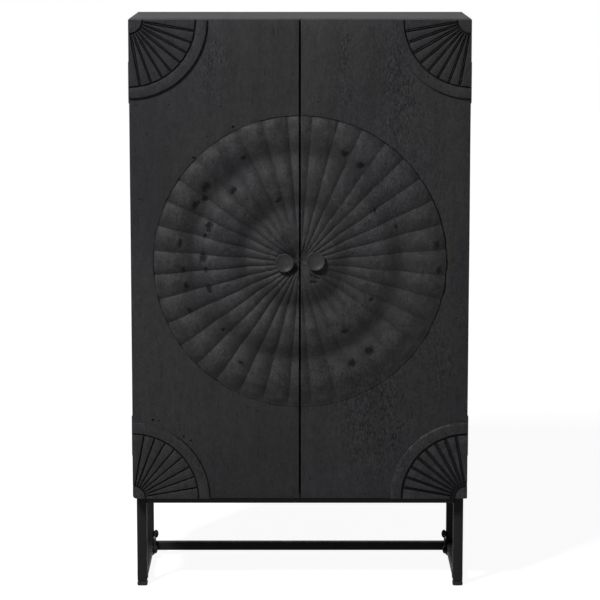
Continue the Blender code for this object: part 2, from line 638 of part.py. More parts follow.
def build_door(name, side):
    """Build one door with its half of the sunburst, its fans, knob, hinges and strike plate."""
    axis = bpy.data.objects.new(f"door_{name}_axis", None)
    axis.location = (side * HALF_WIDTH, HINGE_AXIS_Y, DOOR_BOTTOM_Z)
    bpy.context.scene.collection.objects.link(axis)

    panel = bmesh.new()
    inner, outer = side * DOOR_INNER_X, side * DOOR_OUTER_X
    add_box(panel, (min(inner, outer), FRONT_Y, DOOR_BOTTOM_Z), (max(inner, outer), DOOR_BACK_Y, DOOR_TOP_Z))
    item = make_object("door_panel_" + name, panel, (outer, DOOR_BACK_Y, DOOR_BOTTOM_Z), WOOD, axis, DOOR_EDGE)
    recess = bmesh.new()
    add_rod(recess, MEDALLION_RADIUS + MEDALLION_RIM_GAP, (0, FRONT_Y + MEDALLION_SEAT_DEPTH, DOOR_CENTRE_Z),
            (0, -1, 0), 2 * MEDALLION_SEAT_DEPTH, RECESS_SEGMENTS)
    combine(item, make_cutter("medallion_seat_" + name, recess, axis))
    wear_corner(item, name, side, "door", axis)
    seat_hinges(item, side, "door_" + name, axis)
    hole = bmesh.new()
    add_rod(hole, KNOB_SCREW_DIAMETER / 2 + HOLE_CLEARANCE,
            (side * KNOB_OFFSET, DOOR_BACK_Y + DOOR_THICKNESS, knob_height(name)), (0, -1, 0),
            3 * DOOR_THICKNESS)
    combine(item, make_cutter("knob_screw_hole_" + name, hole, axis))

    build_medallion(name, side, axis)
    build_knob(name, side, axis)
    for level in ("lower", "upper"):
        build_fan(name, side, level, axis)
    for level, height in zip(("lower", "upper"), HINGE_HEIGHTS):
        build_hinge(name, side, level, height, axis)

    strike = bmesh.new()
    middle = side * CATCH_WIDTH / 4
    top = CEILING_Z - SEAT_GAP - (CATCH_HEIGHT - STRIKE_HEIGHT) / 2
    low_y = DOOR_BACK_Y + SEAT_GAP
    add_box(strike, (middle - STRIKE_WIDTH / 2, low_y, top - STRIKE_HEIGHT),
            (middle + STRIKE_WIDTH / 2, low_y + STRIKE_THICKNESS, top))
    make_object("strike_plate_" + name, strike, (middle, low_y, top), PLATED_STEEL, axis)


def build_catch():
    """Build the double magnetic catch that hangs under the top board."""
    front = DOOR_BACK_Y + SEAT_GAP + STRIKE_THICKNESS + STRIKE_GAP
    shape = bmesh.new()
    add_box(shape, (-CATCH_WIDTH / 2, front, CEILING_Z - SEAT_GAP - CATCH_HEIGHT),
            (CATCH_WIDTH / 2, front + CATCH_DEPTH, CEILING_Z - SEAT_GAP))
    make_object("magnetic_catch", shape, (0, front, CEILING_Z), PLASTIC, edge=CATCH_EDGE)


def add_tabs(rail, name, face_y, inward):
    """Weld the tabs that hold the case to a rail's inner face, each with its screw hole."""
    tabs, holes = bmesh.new(), bmesh.new()
    top = BASE_HEIGHT - SEAT_GAP
    near, far = face_y - inward * TAB_WELD_DEPTH, face_y + inward * TAB_REACH
    for side in SIDES.values():
        x = side * TAB_SPACING / 2
        add_box(tabs, (x - TAB_WIDTH / 2, min(near, far), top - TAB_THICKNESS),
                (x + TAB_WIDTH / 2, max(near, far), top))
        add_rod(holes, TAB_HOLE_DIAMETER / 2, (x, face_y + inward * TAB_REACH / 2, top - 2 * TAB_THICKNESS),
                (0, 0, 1), 3 * TAB_THICKNESS)
    combine(rail, make_cutter(name + "_tabs", tabs), "UNION")
    combine(rail, make_cutter(name + "_tab_holes", holes))


def bolt_places(side):
    """Return where one gusset's two bolts meet the frame's inner face, as (x, y, z)."""
    x = side * FRAME_INNER_X
    leg_y = FRAME_REAR_Y - BASE_TUBE / 2
    tube_z = FOOT_HEIGHT + STRETCHER_TUBE / 2
    rail_z = FOOT_HEIGHT + BASE_TUBE / 2
    return [(x, leg_y, tube_z + GUSSET_RISE), (x, leg_y - GUSSET_RUN, rail_z)]


def bolt_holes():
    """Make the tool that drills the gussets, spacers, rear legs and floor rails for the bolts."""
    shape = bmesh.new()
    stack = GUSSET_STANDOFF + GUSSET_THICKNESS + BOLT_HEAD_HEIGHT
    for side in SIDES.values():
        for x, y, z in bolt_places(side):
            add_rod(shape, BOLT_SHANK_DIAMETER / 2 + HOLE_CLEARANCE, (x - side * stack, y, z), (side, 0, 0),
                    stack + BOLT_BITE + HOLE_CLEARANCE)
    return make_cutter("bolt_holes", shape)


def gusset_outline(side):
    """Return the gusset's outline of (y, z): a corner plate with round ends about the bolts."""
    (_, leg_y, top_z), (_, front_y, rail_z) = bolt_places(side)
    tube_z = FOOT_HEIGHT + STRETCHER_TUBE / 2
    low_z = tube_z - STRETCHER_TUBE / 2 + SEAT_GAP
    radius = min(GUSSET_END_RADIUS, rail_z - low_z)
    slope = math.degrees(math.atan2(top_z - rail_z, leg_y - front_y))
    outline = arc((leg_y, top_z), radius, 0, 90 + slope, CORNER_STEPS)
    outline += arc((front_y, rail_z), radius, 90 + slope, 270, 2 * CORNER_STEPS)
    outline += [(leg_y + radius, rail_z - radius)]
    return outline


def build_stretcher(drill):
    """Build the rear stretcher, its two gusset plates with their bosses, and the bolts."""
    plate_outer = FRAME_INNER_X - GUSSET_STANDOFF
    plate_inner = plate_outer - GUSSET_THICKNESS
    leg_y = FRAME_REAR_Y - BASE_TUBE / 2
    tube = bmesh.new()
    half = STRETCHER_TUBE / 2
    reach = plate_inner - SEAT_GAP
    add_box(tube, (-reach, leg_y - half, FOOT_HEIGHT), (reach, leg_y + half, FOOT_HEIGHT + STRETCHER_TUBE))
    make_object("rear_stretcher", tube, (0, leg_y, FOOT_HEIGHT), STEEL, edge=STRETCHER_EDGE)

    seat = GUSSET_STANDOFF + GUSSET_THICKNESS + SEAT_GAP
    head, shank = BOLT_HEAD_DIAMETER / 2, BOLT_SHANK_DIAMETER / 2
    profile = [(0, -BOLT_BITE), (shank, -BOLT_BITE), (shank, seat)]
    for k in range(DOME_STEPS):
        turn = math.pi / 2 * k / DOME_STEPS
        profile.append((head * math.cos(turn), seat + BOLT_HEAD_HEIGHT * math.sin(turn)))
    profile.append((0, seat + BOLT_HEAD_HEIGHT))
    for name, side in SIDES.items():
        plate, bosses = bmesh.new(), bmesh.new()
        add_prism(plate, gusset_outline(side), "X", side * plate_inner, side * plate_outer)
        item = make_object("gusset_" + name, plate, (side * plate_outer, leg_y, FOOT_HEIGHT), STEEL)
        for place, (x, y, z) in zip(("leg", "rail"), bolt_places(side)):
            add_rod(bosses, BOSS_DIAMETER / 2, (x - side * SEAT_GAP, y, z), (-side, 0, 0),
                    GUSSET_STANDOFF - SEAT_GAP + GUSSET_THICKNESS / 2)
            bolt = bmesh.new()
            add_turned(bolt, profile, (x, y, z), (-side, 0, 0), SMALL_SEGMENTS)
            make_object(f"gusset_bolt_{place}_{name}", bolt, (x, y, z), STEEL)
        combine(item, make_cutter("gusset_bosses_" + name, bosses), "UNION")
        combine(item, drill)


def build_frame():
    """Build the steel frame: legs on their feet, the rails, the tabs and the rear stretcher."""
    drill = bolt_holes()
    ends = {"front": FRAME_FRONT_Y, "rear": FRAME_REAR_Y - BASE_TUBE}
    top = BASE_HEIGHT - SEAT_GAP
    for name, side in SIDES.items():
        inner, outer = side * FRAME_INNER_X, side * FRAME_HALF_WIDTH
        low_x, high_x = min(inner, outer), max(inner, outer)
        for end, low_y in ends.items():
            leg = bmesh.new()
            add_box(leg, (low_x, low_y, FOOT_HEIGHT), (high_x, low_y + BASE_TUBE, top))
            item = make_object(f"leg_{end}_{name}", leg, (outer, low_y, FOOT_HEIGHT), STEEL, edge=BASE_TUBE_EDGE)
            if end == "rear":
                combine(item, drill)
            foot = bmesh.new()
            add_box(foot, (low_x - FOOT_FLANGE, low_y - FOOT_FLANGE, 0),
                    (high_x + FOOT_FLANGE, low_y + BASE_TUBE + FOOT_FLANGE, FOOT_HEIGHT - SEAT_GAP))
            make_object(f"foot_{end}_{name}", foot, (outer, low_y, 0), PLASTIC, edge=FOOT_EDGE)
        rear_y = ends["rear"] - SEAT_GAP
        front_y = ends["front"] + BASE_TUBE + SEAT_GAP
        for level, low in (("floor", FOOT_HEIGHT), ("top", top - BASE_TUBE)):
            rail = bmesh.new()
            add_box(rail, (low_x, front_y, low), (high_x, rear_y, low + BASE_TUBE))
            item = make_object(f"{level}_rail_{name}", rail, (outer, front_y, low), STEEL, edge=BASE_TUBE_EDGE)
            if level == "floor":
                combine(item, drill)
    reach = FRAME_INNER_X - SEAT_GAP
    for end, low_y in ends.items():
        rail = bmesh.new()
        add_box(rail, (-reach, low_y, top - BASE_TUBE), (reach, low_y + BASE_TUBE, top))
        item = make_object(end + "_rail", rail, (0, low_y, top), STEEL, edge=BASE_TUBE_EDGE)
        face_y, inward = (low_y + BASE_TUBE, 1) if end == "front" else (low_y, -1)
        add_tabs(item, end + "_rail", face_y, inward)
    build_stretcher(drill)


def build_cabinet():
    """Build the whole cabinet in an empty scene."""
    clear_scene()
    build_case()
    build_catch()
    for name, side in SIDES.items():
        build_door(name, side)
    build_frame()


build_cabinet()
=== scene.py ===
"""Looks of a tall two-door cabinet with a carved sunburst, on a black steel frame.

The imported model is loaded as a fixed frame.  Each sub-assembly is a class that models
its pieces on that frame, each finish is a small class that makes one material, and the
studio holds the floor, the lamps and the camera.  Units are metres and +Z is up.
"""

import json
import logging
import math
import random
from collections.abc import Sequence
from dataclasses import dataclass, replace
from enum import Enum, StrEnum

import bmesh
import bpy
import numpy as np
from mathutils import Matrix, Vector


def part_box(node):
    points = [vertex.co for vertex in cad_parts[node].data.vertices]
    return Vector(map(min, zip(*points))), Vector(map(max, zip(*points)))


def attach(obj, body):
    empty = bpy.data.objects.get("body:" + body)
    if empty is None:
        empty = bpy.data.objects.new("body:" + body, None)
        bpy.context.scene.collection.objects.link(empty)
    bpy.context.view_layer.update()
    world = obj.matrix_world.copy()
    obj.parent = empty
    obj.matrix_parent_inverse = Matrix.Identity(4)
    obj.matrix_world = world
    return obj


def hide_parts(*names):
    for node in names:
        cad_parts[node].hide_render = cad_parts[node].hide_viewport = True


Colour = tuple[float, float, float]
Place = tuple[float, float, float]
Span = tuple[float, float]
Profile = list[tuple[float, float]]
Array = np.ndarray
Material = bpy.types.Material
Piece = bpy.types.Object
Socket = bpy.types.NodeSocket
Solid = bmesh.types.BMesh
Vertex = bmesh.types.BMVert

SHARP_ANGLE = 30.0
SOFT_ANGLE = 40.0
SOFT_SEGMENTS = 3
UNIT: Span = (0.0, 1.0)

log = logging.getLogger("cabinet")
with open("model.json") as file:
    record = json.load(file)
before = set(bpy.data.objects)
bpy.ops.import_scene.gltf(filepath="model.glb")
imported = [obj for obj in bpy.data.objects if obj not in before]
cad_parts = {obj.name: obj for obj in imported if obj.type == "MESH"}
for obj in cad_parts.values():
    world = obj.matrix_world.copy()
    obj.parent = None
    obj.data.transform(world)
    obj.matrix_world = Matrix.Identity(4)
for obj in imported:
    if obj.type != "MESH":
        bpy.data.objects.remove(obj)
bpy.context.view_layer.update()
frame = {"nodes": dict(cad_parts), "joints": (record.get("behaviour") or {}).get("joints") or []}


class Side(Enum):
    """The two sides of the cabinet, as signs along X."""

    LEFT = -1
    RIGHT = 1

    @property
    def label(self) -> str:
        """Return the side's name as the nodes use it."""
        return self.name.lower()


class Level(StrEnum):
    """The two heights of the fans and the hinges, as the nodes name them."""

    LOWER = "lower"
    UPPER = "upper"


class Axis(Enum):
    """A direction of the frame, as the index of its coordinate."""

    X = 0
    Y = 1
    Z = 2


class Slot(Enum):
    """The record's material slots."""

    BLACK_WOOD = "black_wood"
    CARVED_WOOD = "carved_wood"
    KNOB = "knob_black"
    HINGE = "hinge_black"
    PLATED_STEEL = "plated_steel"
    FRAME = "frame_black"
    PLASTIC = "black_plastic"


# Materials


@dataclass(frozen=True)
class Noise:
    """A noise in a finish: its waves a metre, its character, and the span of its values that is used."""

    waves: Place
    detail: float = 3.0
    roughness: float = 0.55
    offset: Place = (0.0, 0.0, 0.0)
    span: Span = (0.3, 0.7)

    def along(self, grain: Axis) -> "Noise":
        """Return the noise with its last number of waves along the grain and its first across it.

        Args:
            grain: The direction of the grain.

        Returns:
            The turned noise.
        """
        waves = [self.waves[Axis.X.value]] * len(Axis)
        waves[grain.value] = self.waves[Axis.Z.value]
        return replace(self, waves=(waves[0], waves[1], waves[2]))


def about(contrast: float) -> Span:
    """Return the factors that lie a contrast below and above 1."""
    return (1 - contrast, 1 + contrast)


class Nodes:
    """A node tree, with short calls for the nodes that the finishes and the surround share."""

    def __init__(self, tree: bpy.types.NodeTree) -> None:
        """Take over a tree."""
        self.tree = tree

    def add(self, kind: str, **settings: object) -> bpy.types.Node:
        """Add a node.

        Args:
            kind: The node's type.
            settings: The node's properties.

        Returns:
            The new node.
        """
        node = self.tree.nodes.new(kind)
        for key, value in settings.items():
            setattr(node, key, value)
        return node

    def feed(self, target: Socket, value: object) -> None:
        """Link a socket to an input, or set the input to a plain value.

        Args:
            target: The input.
            value: The socket, or the plain value.
        """
        if isinstance(value, Socket):
            self.tree.links.new(value, target)
        else:
            target.default_value = value

    def calculate(self, operation: str, first: object, second: object = 0.0) -> Socket:
        """Add a Math node.

        Args:
            operation: What it does.
            first: Its first value or socket.
            second: Its second value or socket, where it has one.

        Returns:
            The result.
        """
        node = self.add("ShaderNodeMath", operation=operation)
        self.feed(node.inputs[0], first)
        self.feed(node.inputs[1], second)
        return node.outputs[0]

    def times(self, first: object, second: object) -> Socket:
        """Return the product."""
        return self.calculate("MULTIPLY", first, second)

    def plus(self, first: object, second: object) -> Socket:
        """Return the sum."""
        return self.calculate("ADD", first, second)

    def minus(self, first: object, second: object) -> Socket:
        """Return the difference."""
        return self.calculate("SUBTRACT", first, second)

    def remap(self, value: object, source: Span, target: Span) -> Socket:
        """Carry a value smoothly from one span to another, and clamp it.

        Args:
            value: The value or socket.
            source: The span that the value comes from.
            target: The span that it goes to.

        Returns:
            The carried value.
        """
        node = self.add("ShaderNodeMapRange", interpolation_type="SMOOTHSTEP")
        self.feed(node.inputs["Value"], value)
        for socket, bound in zip(("From Min", "From Max", "To Min", "To Max"), (*source, *target)):
            self.feed(node.inputs[socket], bound)
        return node.outputs["Result"]


class Graph(Nodes):
    """A material's node tree, with the nodes that the finishes share."""

    COLOUR_INPUTS = (6, 7)
    COLOUR_OUTPUT = 2
    SPOT_CORE = 0.4
    OVAL_EDGE = (0.30, 1.15)

    def __init__(self, name: str, roughness: float, specular: float, metallic: float = 0.0) -> None:
        """Start a Principled material.

        Args:
            name: The material's name.
            roughness: The roughness, until a node is linked to it.
            specular: The specular level, where 0.5 is plain lacquer.
            metallic: 1 for bare metal.
        """
        self.material = bpy.data.materials.new(name)
        self.material.use_nodes = True
        super().__init__(self.material.node_tree)
        self.shader = self.tree.nodes["Principled BSDF"]
        self.feed(self.shader.inputs["Roughness"], roughness)
        self.feed(self.shader.inputs["Specular IOR Level"], specular)
        self.feed(self.shader.inputs["Metallic"], metallic)
        self.place = self.add("ShaderNodeTexCoord").outputs["Object"]

    def stretched(self, scale: Place, offset: Place) -> Socket:
        """Scale and move the place on the piece.

        Args:
            scale: The scale along each axis.
            offset: What is added after that.

        Returns:
            The changed place.
        """
        mapping = self.add("ShaderNodeMapping")
        mapping.inputs["Scale"].default_value = scale
        mapping.inputs["Location"].default_value = offset
        self.feed(mapping.inputs["Vector"], self.place)
        return mapping.outputs["Vector"]

    def noise(self, noise: Noise) -> Socket:
        """Add a noise.

        Args:
            noise: Its waves and character.

        Returns:
            A value of about 0.5 on average.
        """
        node = self.add("ShaderNodeTexNoise")
        self.feed(node.inputs["Vector"], self.stretched(noise.waves, noise.offset))
        node.inputs["Scale"].default_value = 1.0
        node.inputs["Detail"].default_value = noise.detail
        node.inputs["Roughness"].default_value = noise.roughness
        return node.outputs[0]

    def spread(self, noise: Noise, target: Span) -> Socket:
        """Return a new noise whose own span is carried to another."""
        return self.remap(self.noise(noise), noise.span, target)

    def mix(self, factor: object, first: object, second: object) -> Socket:
        """Blend two colours.

        Args:
            factor: The share of the second colour.
            first: The first colour or socket.
            second: The second colour or socket.

        Returns:
            The blend.
        """
        node = self.add("ShaderNodeMix", data_type="RGBA")
        self.feed(node.inputs[0], factor)
        for place, colour in zip(self.COLOUR_INPUTS, (first, second)):
            self.feed(node.inputs[place], (*colour, 1.0) if isinstance(colour, tuple) else colour)
        return node.outputs[self.COLOUR_OUTPUT]

    def dim(self, colour: Socket, factor: object) -> Socket:
        """Multiply a colour.

        Args:
            colour: The colour.
            factor: The factor, as a value or socket.

        Returns:
            The dimmer or brighter colour.
        """
        node = self.add("ShaderNodeVectorMath", operation="SCALE")
        self.feed(node.inputs[0], colour)
        self.feed(node.inputs["Scale"], factor)
        return node.outputs[0]

    def shade(self, colour: Socket, mask: object, darkest: float) -> Socket:
        """Return the colour, dimmed where the mask is 1 to the darkest factor."""
        return self.dim(colour, self.remap(mask, UNIT, (1.0, darkest)))

    def attribute(self, name: str) -> Socket:
        """Return a value that the mesh carries at its vertices."""
        return self.add("ShaderNodeAttribute", attribute_name=name).outputs["Fac"]

    def parts(self) -> bpy.types.NodeOutputs:
        """Return the X, Y and Z of the place on the piece.

        Returns:
            The three outputs.
        """
        node = self.add("ShaderNodeSeparateXYZ")
        self.feed(node.inputs[0], self.place)
        return node.outputs

    def spots(self, scale: float, size: float, share: float) -> Socket:
        """Return a mask of small round spots that are scattered over an upright face.

        Args:
            scale: Cells a metre, of which each holds one spot at most.
            size: The spot's radius, as a share of a cell.
            share: The share of the cells that have a spot.

        Returns:
            A socket that is 1 in a spot and 0 elsewhere.
        """
        parts = self.parts()
        flat = self.add("ShaderNodeCombineXYZ")
        self.feed(flat.inputs["X"], self.plus(parts["X"], parts["Y"]))
        self.feed(flat.inputs["Y"], parts["Z"])
        cells = self.add("ShaderNodeTexVoronoi", voronoi_dimensions="2D")
        self.feed(cells.inputs["Vector"], flat.outputs[0])
        cells.inputs["Scale"].default_value = scale
        near = self.remap(cells.outputs["Distance"], (self.SPOT_CORE * size, size), (1.0, 0.0))
        chosen = self.calculate("LESS_THAN", cells.outputs["Color"], share)
        return self.times(near, chosen)

    def oval(self, x: float, z: float, half_width: float, half_height: float) -> Socket:
        """Return a mask that is 1 in an oval on the front and falls to 0 at its edge.

        Args:
            x: The oval's middle across the piece.
            z: The oval's middle upwards.
            half_width: Half its width.
            half_height: Half its height.

        Returns:
            A socket from 0 to 1.
        """
        scale = (1 / half_width, 0.0, 1 / half_height)
        length = self.add("ShaderNodeVectorMath", operation="LENGTH")
        self.feed(length.inputs[0], self.stretched(scale, (-x / half_width, 0.0, -z / half_height)))
        return self.remap(length.outputs["Value"], self.OVAL_EDGE, (1.0, 0.0))

    def finish(self, colour: object, roughness: object, height: object, relief: float,
               strength: float) -> Material:
        """Link colour, roughness and bump to the shader and return the material.

        Args:
            colour: The base colour.
            roughness: The roughness.
            height: The bump's height, where 1 stands for the relief.
            relief: The bump's depth in metres.
            strength: The bump's strength.

        Returns:
            The finished material.
        """
        self.feed(self.shader.inputs["Base Color"], colour)
        self.feed(self.shader.inputs["Roughness"], roughness)
        bump = self.add("ShaderNodeBump")
        bump.inputs["Strength"].default_value = strength
        bump.inputs["Distance"].default_value = relief
        self.feed(bump.inputs["Height"], height)
        self.feed(self.shader.inputs["Normal"], bump.outputs["Normal"])
        return self.material


@dataclass(frozen=True)
class WoodPatch:
    """An oval place on the doors whose wood looks different: its middle, its half sizes and how much."""

    x: float
    z: float
    half_width: float
    half_height: float
    amount: float

    def mask(self, graph: Graph) -> Socket:
        """Return the place's mask, which is 1 in its middle."""
        return graph.oval(self.x, self.z, self.half_width, self.half_height)


@dataclass(frozen=True)
class Dent:
    """A round dent in a door's face: its place across the doors, its height and its radius."""

    x: float
    z: float
    radius: float


ROUGH_PATCHES = (
    WoodPatch(0.200, 0.445, 0.130, 0.190, 1.15), WoodPatch(0.245, 1.270, 0.062, 0.240, 1.05),
    WoodPatch(0.112, 1.330, 0.028, 0.150, 1.05), WoodPatch(0.362, 0.600, 0.040, 0.130, 0.9),
    WoodPatch(0.200, 0.980, 0.130, 0.130, 0.7), WoodPatch(-0.210, 1.330, 0.050, 0.120, 1.0),
    WoodPatch(0.060, 0.560, 0.070, 0.060, 0.7),
)
ROUGH_RIGHT_DOOR = WoodPatch(0.225, 0.830, 0.270, 0.900, 0.55)

# Ovals where the doors' colour is darker; the left door's large oval is on its flat faces only.
DARKER_OVALS = (WoodPatch(-0.400, 1.080, 0.110, 0.300, 0.16), WoodPatch(0.120, 1.310, 0.170, 0.150, 0.09))
DARK_LEFT_DOOR = WoodPatch(-0.225, 1.130, 0.330, 0.420, 0.12)

DENTS = (
    Dent(-0.1665, 1.1835, 0.0031), Dent(-0.2640, 1.1065, 0.0034), Dent(-0.3723, 0.4402, 0.0031),
    Dent(-0.3572, 0.4377, 0.0021), Dent(-0.2942, 0.3974, 0.0025), Dent(-0.2765, 0.3873, 0.0027),
    Dent(-0.3460, 1.0900, 0.0010), Dent(0.3380, 0.4100, 0.0011), Dent(0.1450, 0.3720, 0.0010),
    Dent(0.0250, 0.3820, 0.0012), Dent(0.0250, 0.2860, 0.0011),
)


@dataclass(frozen=True)
class BlackWood:
    """Charcoal lacquer over open-grained boards: streaks, pores, speckle, cooler patches and pits.

    A noise that runs with the grain has its waves along the grain as its last number.
    """

    name: str
    grain: Axis = Axis.Z
    carved: bool = False
    tone: Colour = (0.0208, 0.0208, 0.0205)
    cool_tone: Colour = (0.0200, 0.0199, 0.0227)
    roughness: float = 0.60
    roughness_span: Span = (0.54, 0.66)
    specular: float = 0.09
    relief: float = 0.0006
    strength: float = 0.6
    grain_height: float = 0.6
    cool_patches: Noise = Noise((3.6, 3.6, 2.2), 4.0, 0.6, span=(0.42, 0.60))
    streaks: Noise = Noise((150.0, 150.0, 20.0), 4.0, 0.65)
    streak_span: Span = (0.25, 0.75)
    streak_contrast: float = 0.10
    bands: Noise = Noise((26.0, 26.0, 1.3), 3.0, 0.5, (4.0, 2.0, 1.0))
    band_contrast: float = 0.06
    mottle: Noise = Noise((70.0, 70.0, 45.0), 3.0, 0.6, (1.0, 5.0, 3.0))
    mottle_contrast: float = 0.09
    speckle: Noise = Noise((200.0, 200.0, 200.0), 3.0, 0.75, (9.0, 4.0, 6.0), (0.35, 0.65))
    flat_contrast: float = 0.135
    carved_contrast: float = 0.20
    pores: Noise = Noise((380.0, 380.0, 30.0), 2.0, 0.5, (7.0, 1.0, 2.0), (0.64, 0.72))
    pore_shade: float = 0.55
    pit_cells: float = 13.0
    pit_size: float = 0.035
    pit_share: float = 0.32
    pit_shade: float = 0.15
    pit_depth: float = 3.0
    uneven: Noise = Noise((24.0, 24.0, 9.0), 3.0, 0.6, (6.0, 3.0, 8.0), (0.32, 0.52))
    least_rough: float = 0.3
    flecks: Noise = Noise((330.0, 330.0, 110.0), 3.0, 0.8, (5.0, 9.0, 2.0), (0.36, 0.62))
    fleck_tones: Span = (-0.62, 0.42)
    # Painted shade in the doors' dents: its reach, its darkest factor, and how far behind the face it still
    # reaches.
    dirt_reach: float = 1.5
    dirt_shade: float = 0.22
    face_depth: float = 0.006
    # Patches of the painted highlight, partly wear, on the carving's ridges.
    blotches: Noise = Noise((42.0, 42.0, 42.0), 5.0, 0.75, (2.0, 8.0, 5.0), (0.40, 0.62))
    # The darkest factor of the painted shade that the mesh's hollow value carries.
    hollow_shade: float = 0.22
    worn_base: float = 0.94
    worn_gain: float = 0.46
    # The ragged edge of the gouges' painted shadow and torn grain.
    ragged: Noise = Noise((170.0, 170.0, 120.0), 5.0, 0.85, (3.0, 7.0, 1.0))
    ragged_gain: float = 4.4
    ragged_start: Span = (0.05, 0.30)
    torn_span: Span = (0.25, 0.80)
    torn_shade: float = 0.22
    torn_depth: float = 2.5

    def make(self) -> Material:
        """Make the lacquer.

        Returns:
            The material.
        """
        graph = Graph(self.name, self.roughness, self.specular)
        streaks = graph.noise(self.streaks.along(self.grain))
        speckle = graph.noise(self.speckle)
        pores = graph.spread(self.pores.along(self.grain), UNIT)
        pits = graph.spots(self.pit_cells, self.pit_size, self.pit_share)
        contrast = self.carved_contrast if self.carved else self.flat_contrast
        colour = graph.mix(graph.spread(self.cool_patches, UNIT), self.tone, self.cool_tone)
        for factor in (graph.remap(streaks, self.streak_span, about(self.streak_contrast)),
                       graph.spread(self.bands.along(self.grain), about(self.band_contrast)),
                       graph.spread(self.mottle, about(self.mottle_contrast)),
                       graph.remap(speckle, self.speckle.span, about(contrast)), self.roughened(graph)):
            colour = graph.dim(colour, factor)
        # The colour is darker in these ovals.
        for darker_oval in DARKER_OVALS if self.carved else (*DARKER_OVALS, DARK_LEFT_DOOR):
            colour = graph.shade(colour, darker_oval.mask(graph), 1 - darker_oval.amount)
        colour = graph.shade(colour, pores, self.pore_shade)
        colour = graph.shade(colour, pits, self.pit_shade)
        height = graph.times(graph.plus(streaks, speckle), self.grain_height)
        height = graph.minus(height, pores)
        height = graph.minus(height, graph.times(pits, self.pit_depth))
        if self.carved:
            # Painted shade and highlights on the carving, and painted shadow in its gouges.
            torn_and_shadow = self.torn_places(graph)
            colour = graph.shade(self.handled(graph, colour), torn_and_shadow, self.torn_shade)
            height = graph.minus(height, graph.times(torn_and_shadow, self.torn_depth))
        else:
            # Painted shade in the dents of the flat faces.
            colour = graph.shade(colour, self.dented(graph), self.dirt_shade)
        roughness = graph.remap(streaks, self.streaks.span, self.roughness_span)
        return graph.finish(colour, roughness, height, self.relief, self.strength)

    def handled(self, graph: Graph, colour: Socket) -> Socket:
        """Paint shade into the carving's hollows, lines and rim, and paint highlights, with some wear, onto
        its ridges.

        Args:
            graph: The material's nodes.
            colour: The colour before that.

        Returns:
            The colour after it.
        """
        # Painted shade from the hollow value, then painted highlight, partly wear, on the ridges.
        blotches = graph.spread(self.blotches, UNIT)
        worn = graph.times(graph.attribute("rubbed"), blotches)
        colour = graph.shade(colour, graph.attribute("hollow"), self.hollow_shade)
        gain = graph.times(worn, self.worn_gain)
        return graph.dim(colour, graph.plus(gain, self.worn_base))

    def dented(self, graph: Graph) -> Socket:
        """Find the painted shade in the dents of the doors' faces.

        Args:
            graph: The material's nodes.

        Returns:
            A mask that is 1 in a dent's middle.
        """
        dent_darkness: object = 0.0
        for dent in DENTS:
            reach = self.dirt_reach * dent.radius
            dent_darkness = graph.calculate("MAXIMUM", dent_darkness, graph.oval(dent.x, dent.z, reach, reach))
        behind_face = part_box("door_panel_right")[0].y + self.face_depth
        front = graph.calculate("LESS_THAN", graph.parts()["Y"], behind_face)
        return graph.times(dent_darkness, front)

    def roughened(self, graph: Graph) -> Socket:
        """Find the dark and pale flecks in the places where the grain was raised under the lacquer.

        Args:
            graph: The material's nodes.

        Returns:
            The factor of the colour.
        """
        rough: object = 0.0
        for patch in ROUGH_PATCHES if self.carved else (*ROUGH_PATCHES, ROUGH_RIGHT_DOOR):
            reach = graph.times(patch.mask(graph), patch.amount)
            rough = graph.calculate("MAXIMUM", rough, reach)
        rough = graph.times(rough, graph.spread(self.uneven, (self.least_rough, 1.0)))
        contrast = graph.spread(self.flecks.along(self.grain), self.fleck_tones)
        return graph.plus(graph.times(contrast, rough), 1.0)

    def torn_places(self, graph: Graph) -> Socket:
        """Find the painted shadow in the gouges, with a ragged edge where the gouge tore the grain.

        Args:
            graph: The material's nodes.

        Returns:
            A mask that is 1 in the painted shadow and the torn grain.
        """
        reach = graph.attribute("gouged")
        edge = graph.minus(graph.noise(self.ragged), 0.5)
        edge = graph.times(edge, self.ragged_gain)
        near = graph.remap(reach, self.ragged_start, UNIT)
        return graph.remap(graph.plus(reach, graph.times(edge, near)), self.torn_span, UNIT)


@dataclass(frozen=True)
class TwoTone:
    """The base of the plainer finishes: two tones that a noise mixes along the grain, over a fine skin.

    The clouds' noise dims the colour and the sheen's noise moves the roughness, where they are given.
    """

    name: str
    tone: Colour
    second_tone: Colour
    mixing: Noise
    skin: Noise
    grain: Axis = Axis.Z
    clouds: Noise | None = None
    cloud_contrast: float = 0.1
    sheen: Noise | None = None
    roughness: float = 0.5
    roughness_span: Span = (0.5, 0.5)
    specular: float = 0.5
    metallic: float = 0.0
    relief: float = 0.0001
    strength: float = 0.4

    def make(self) -> Material:
        """Make the finish.

        Returns:
            The material.
        """
        graph = Graph(self.name, self.roughness, self.specular, self.metallic)
        mixing = graph.spread(self.mixing.along(self.grain), UNIT)
        colour = graph.mix(mixing, self.tone, self.second_tone)
        if self.clouds:
            colour = graph.dim(colour, graph.spread(self.clouds, about(self.cloud_contrast)))
        roughness = graph.spread(self.sheen, self.roughness_span) if self.sheen else self.roughness
        skin = graph.noise(self.skin.along(self.grain))
        return graph.finish(colour, roughness, skin, self.relief, self.strength)


@dataclass(frozen=True)
class InsideBoard(TwoTone):
    """Thin charcoal stain on the boards inside, which shows a quiet level grain."""

    tone: Colour = (0.030, 0.029, 0.028)
    second_tone: Colour = (0.042, 0.040, 0.038)
    mixing: Noise = Noise((120.0, 120.0, 4.0), 5.0, 0.6, span=(0.35, 0.7))
    skin: Noise = Noise((120.0, 120.0, 4.0), 5.0, 0.6)
    grain: Axis = Axis.X
    clouds: Noise = Noise((5.0, 5.0, 5.0))
    roughness: float = 0.68
    specular: float = 0.25
    relief: float = 0.0003


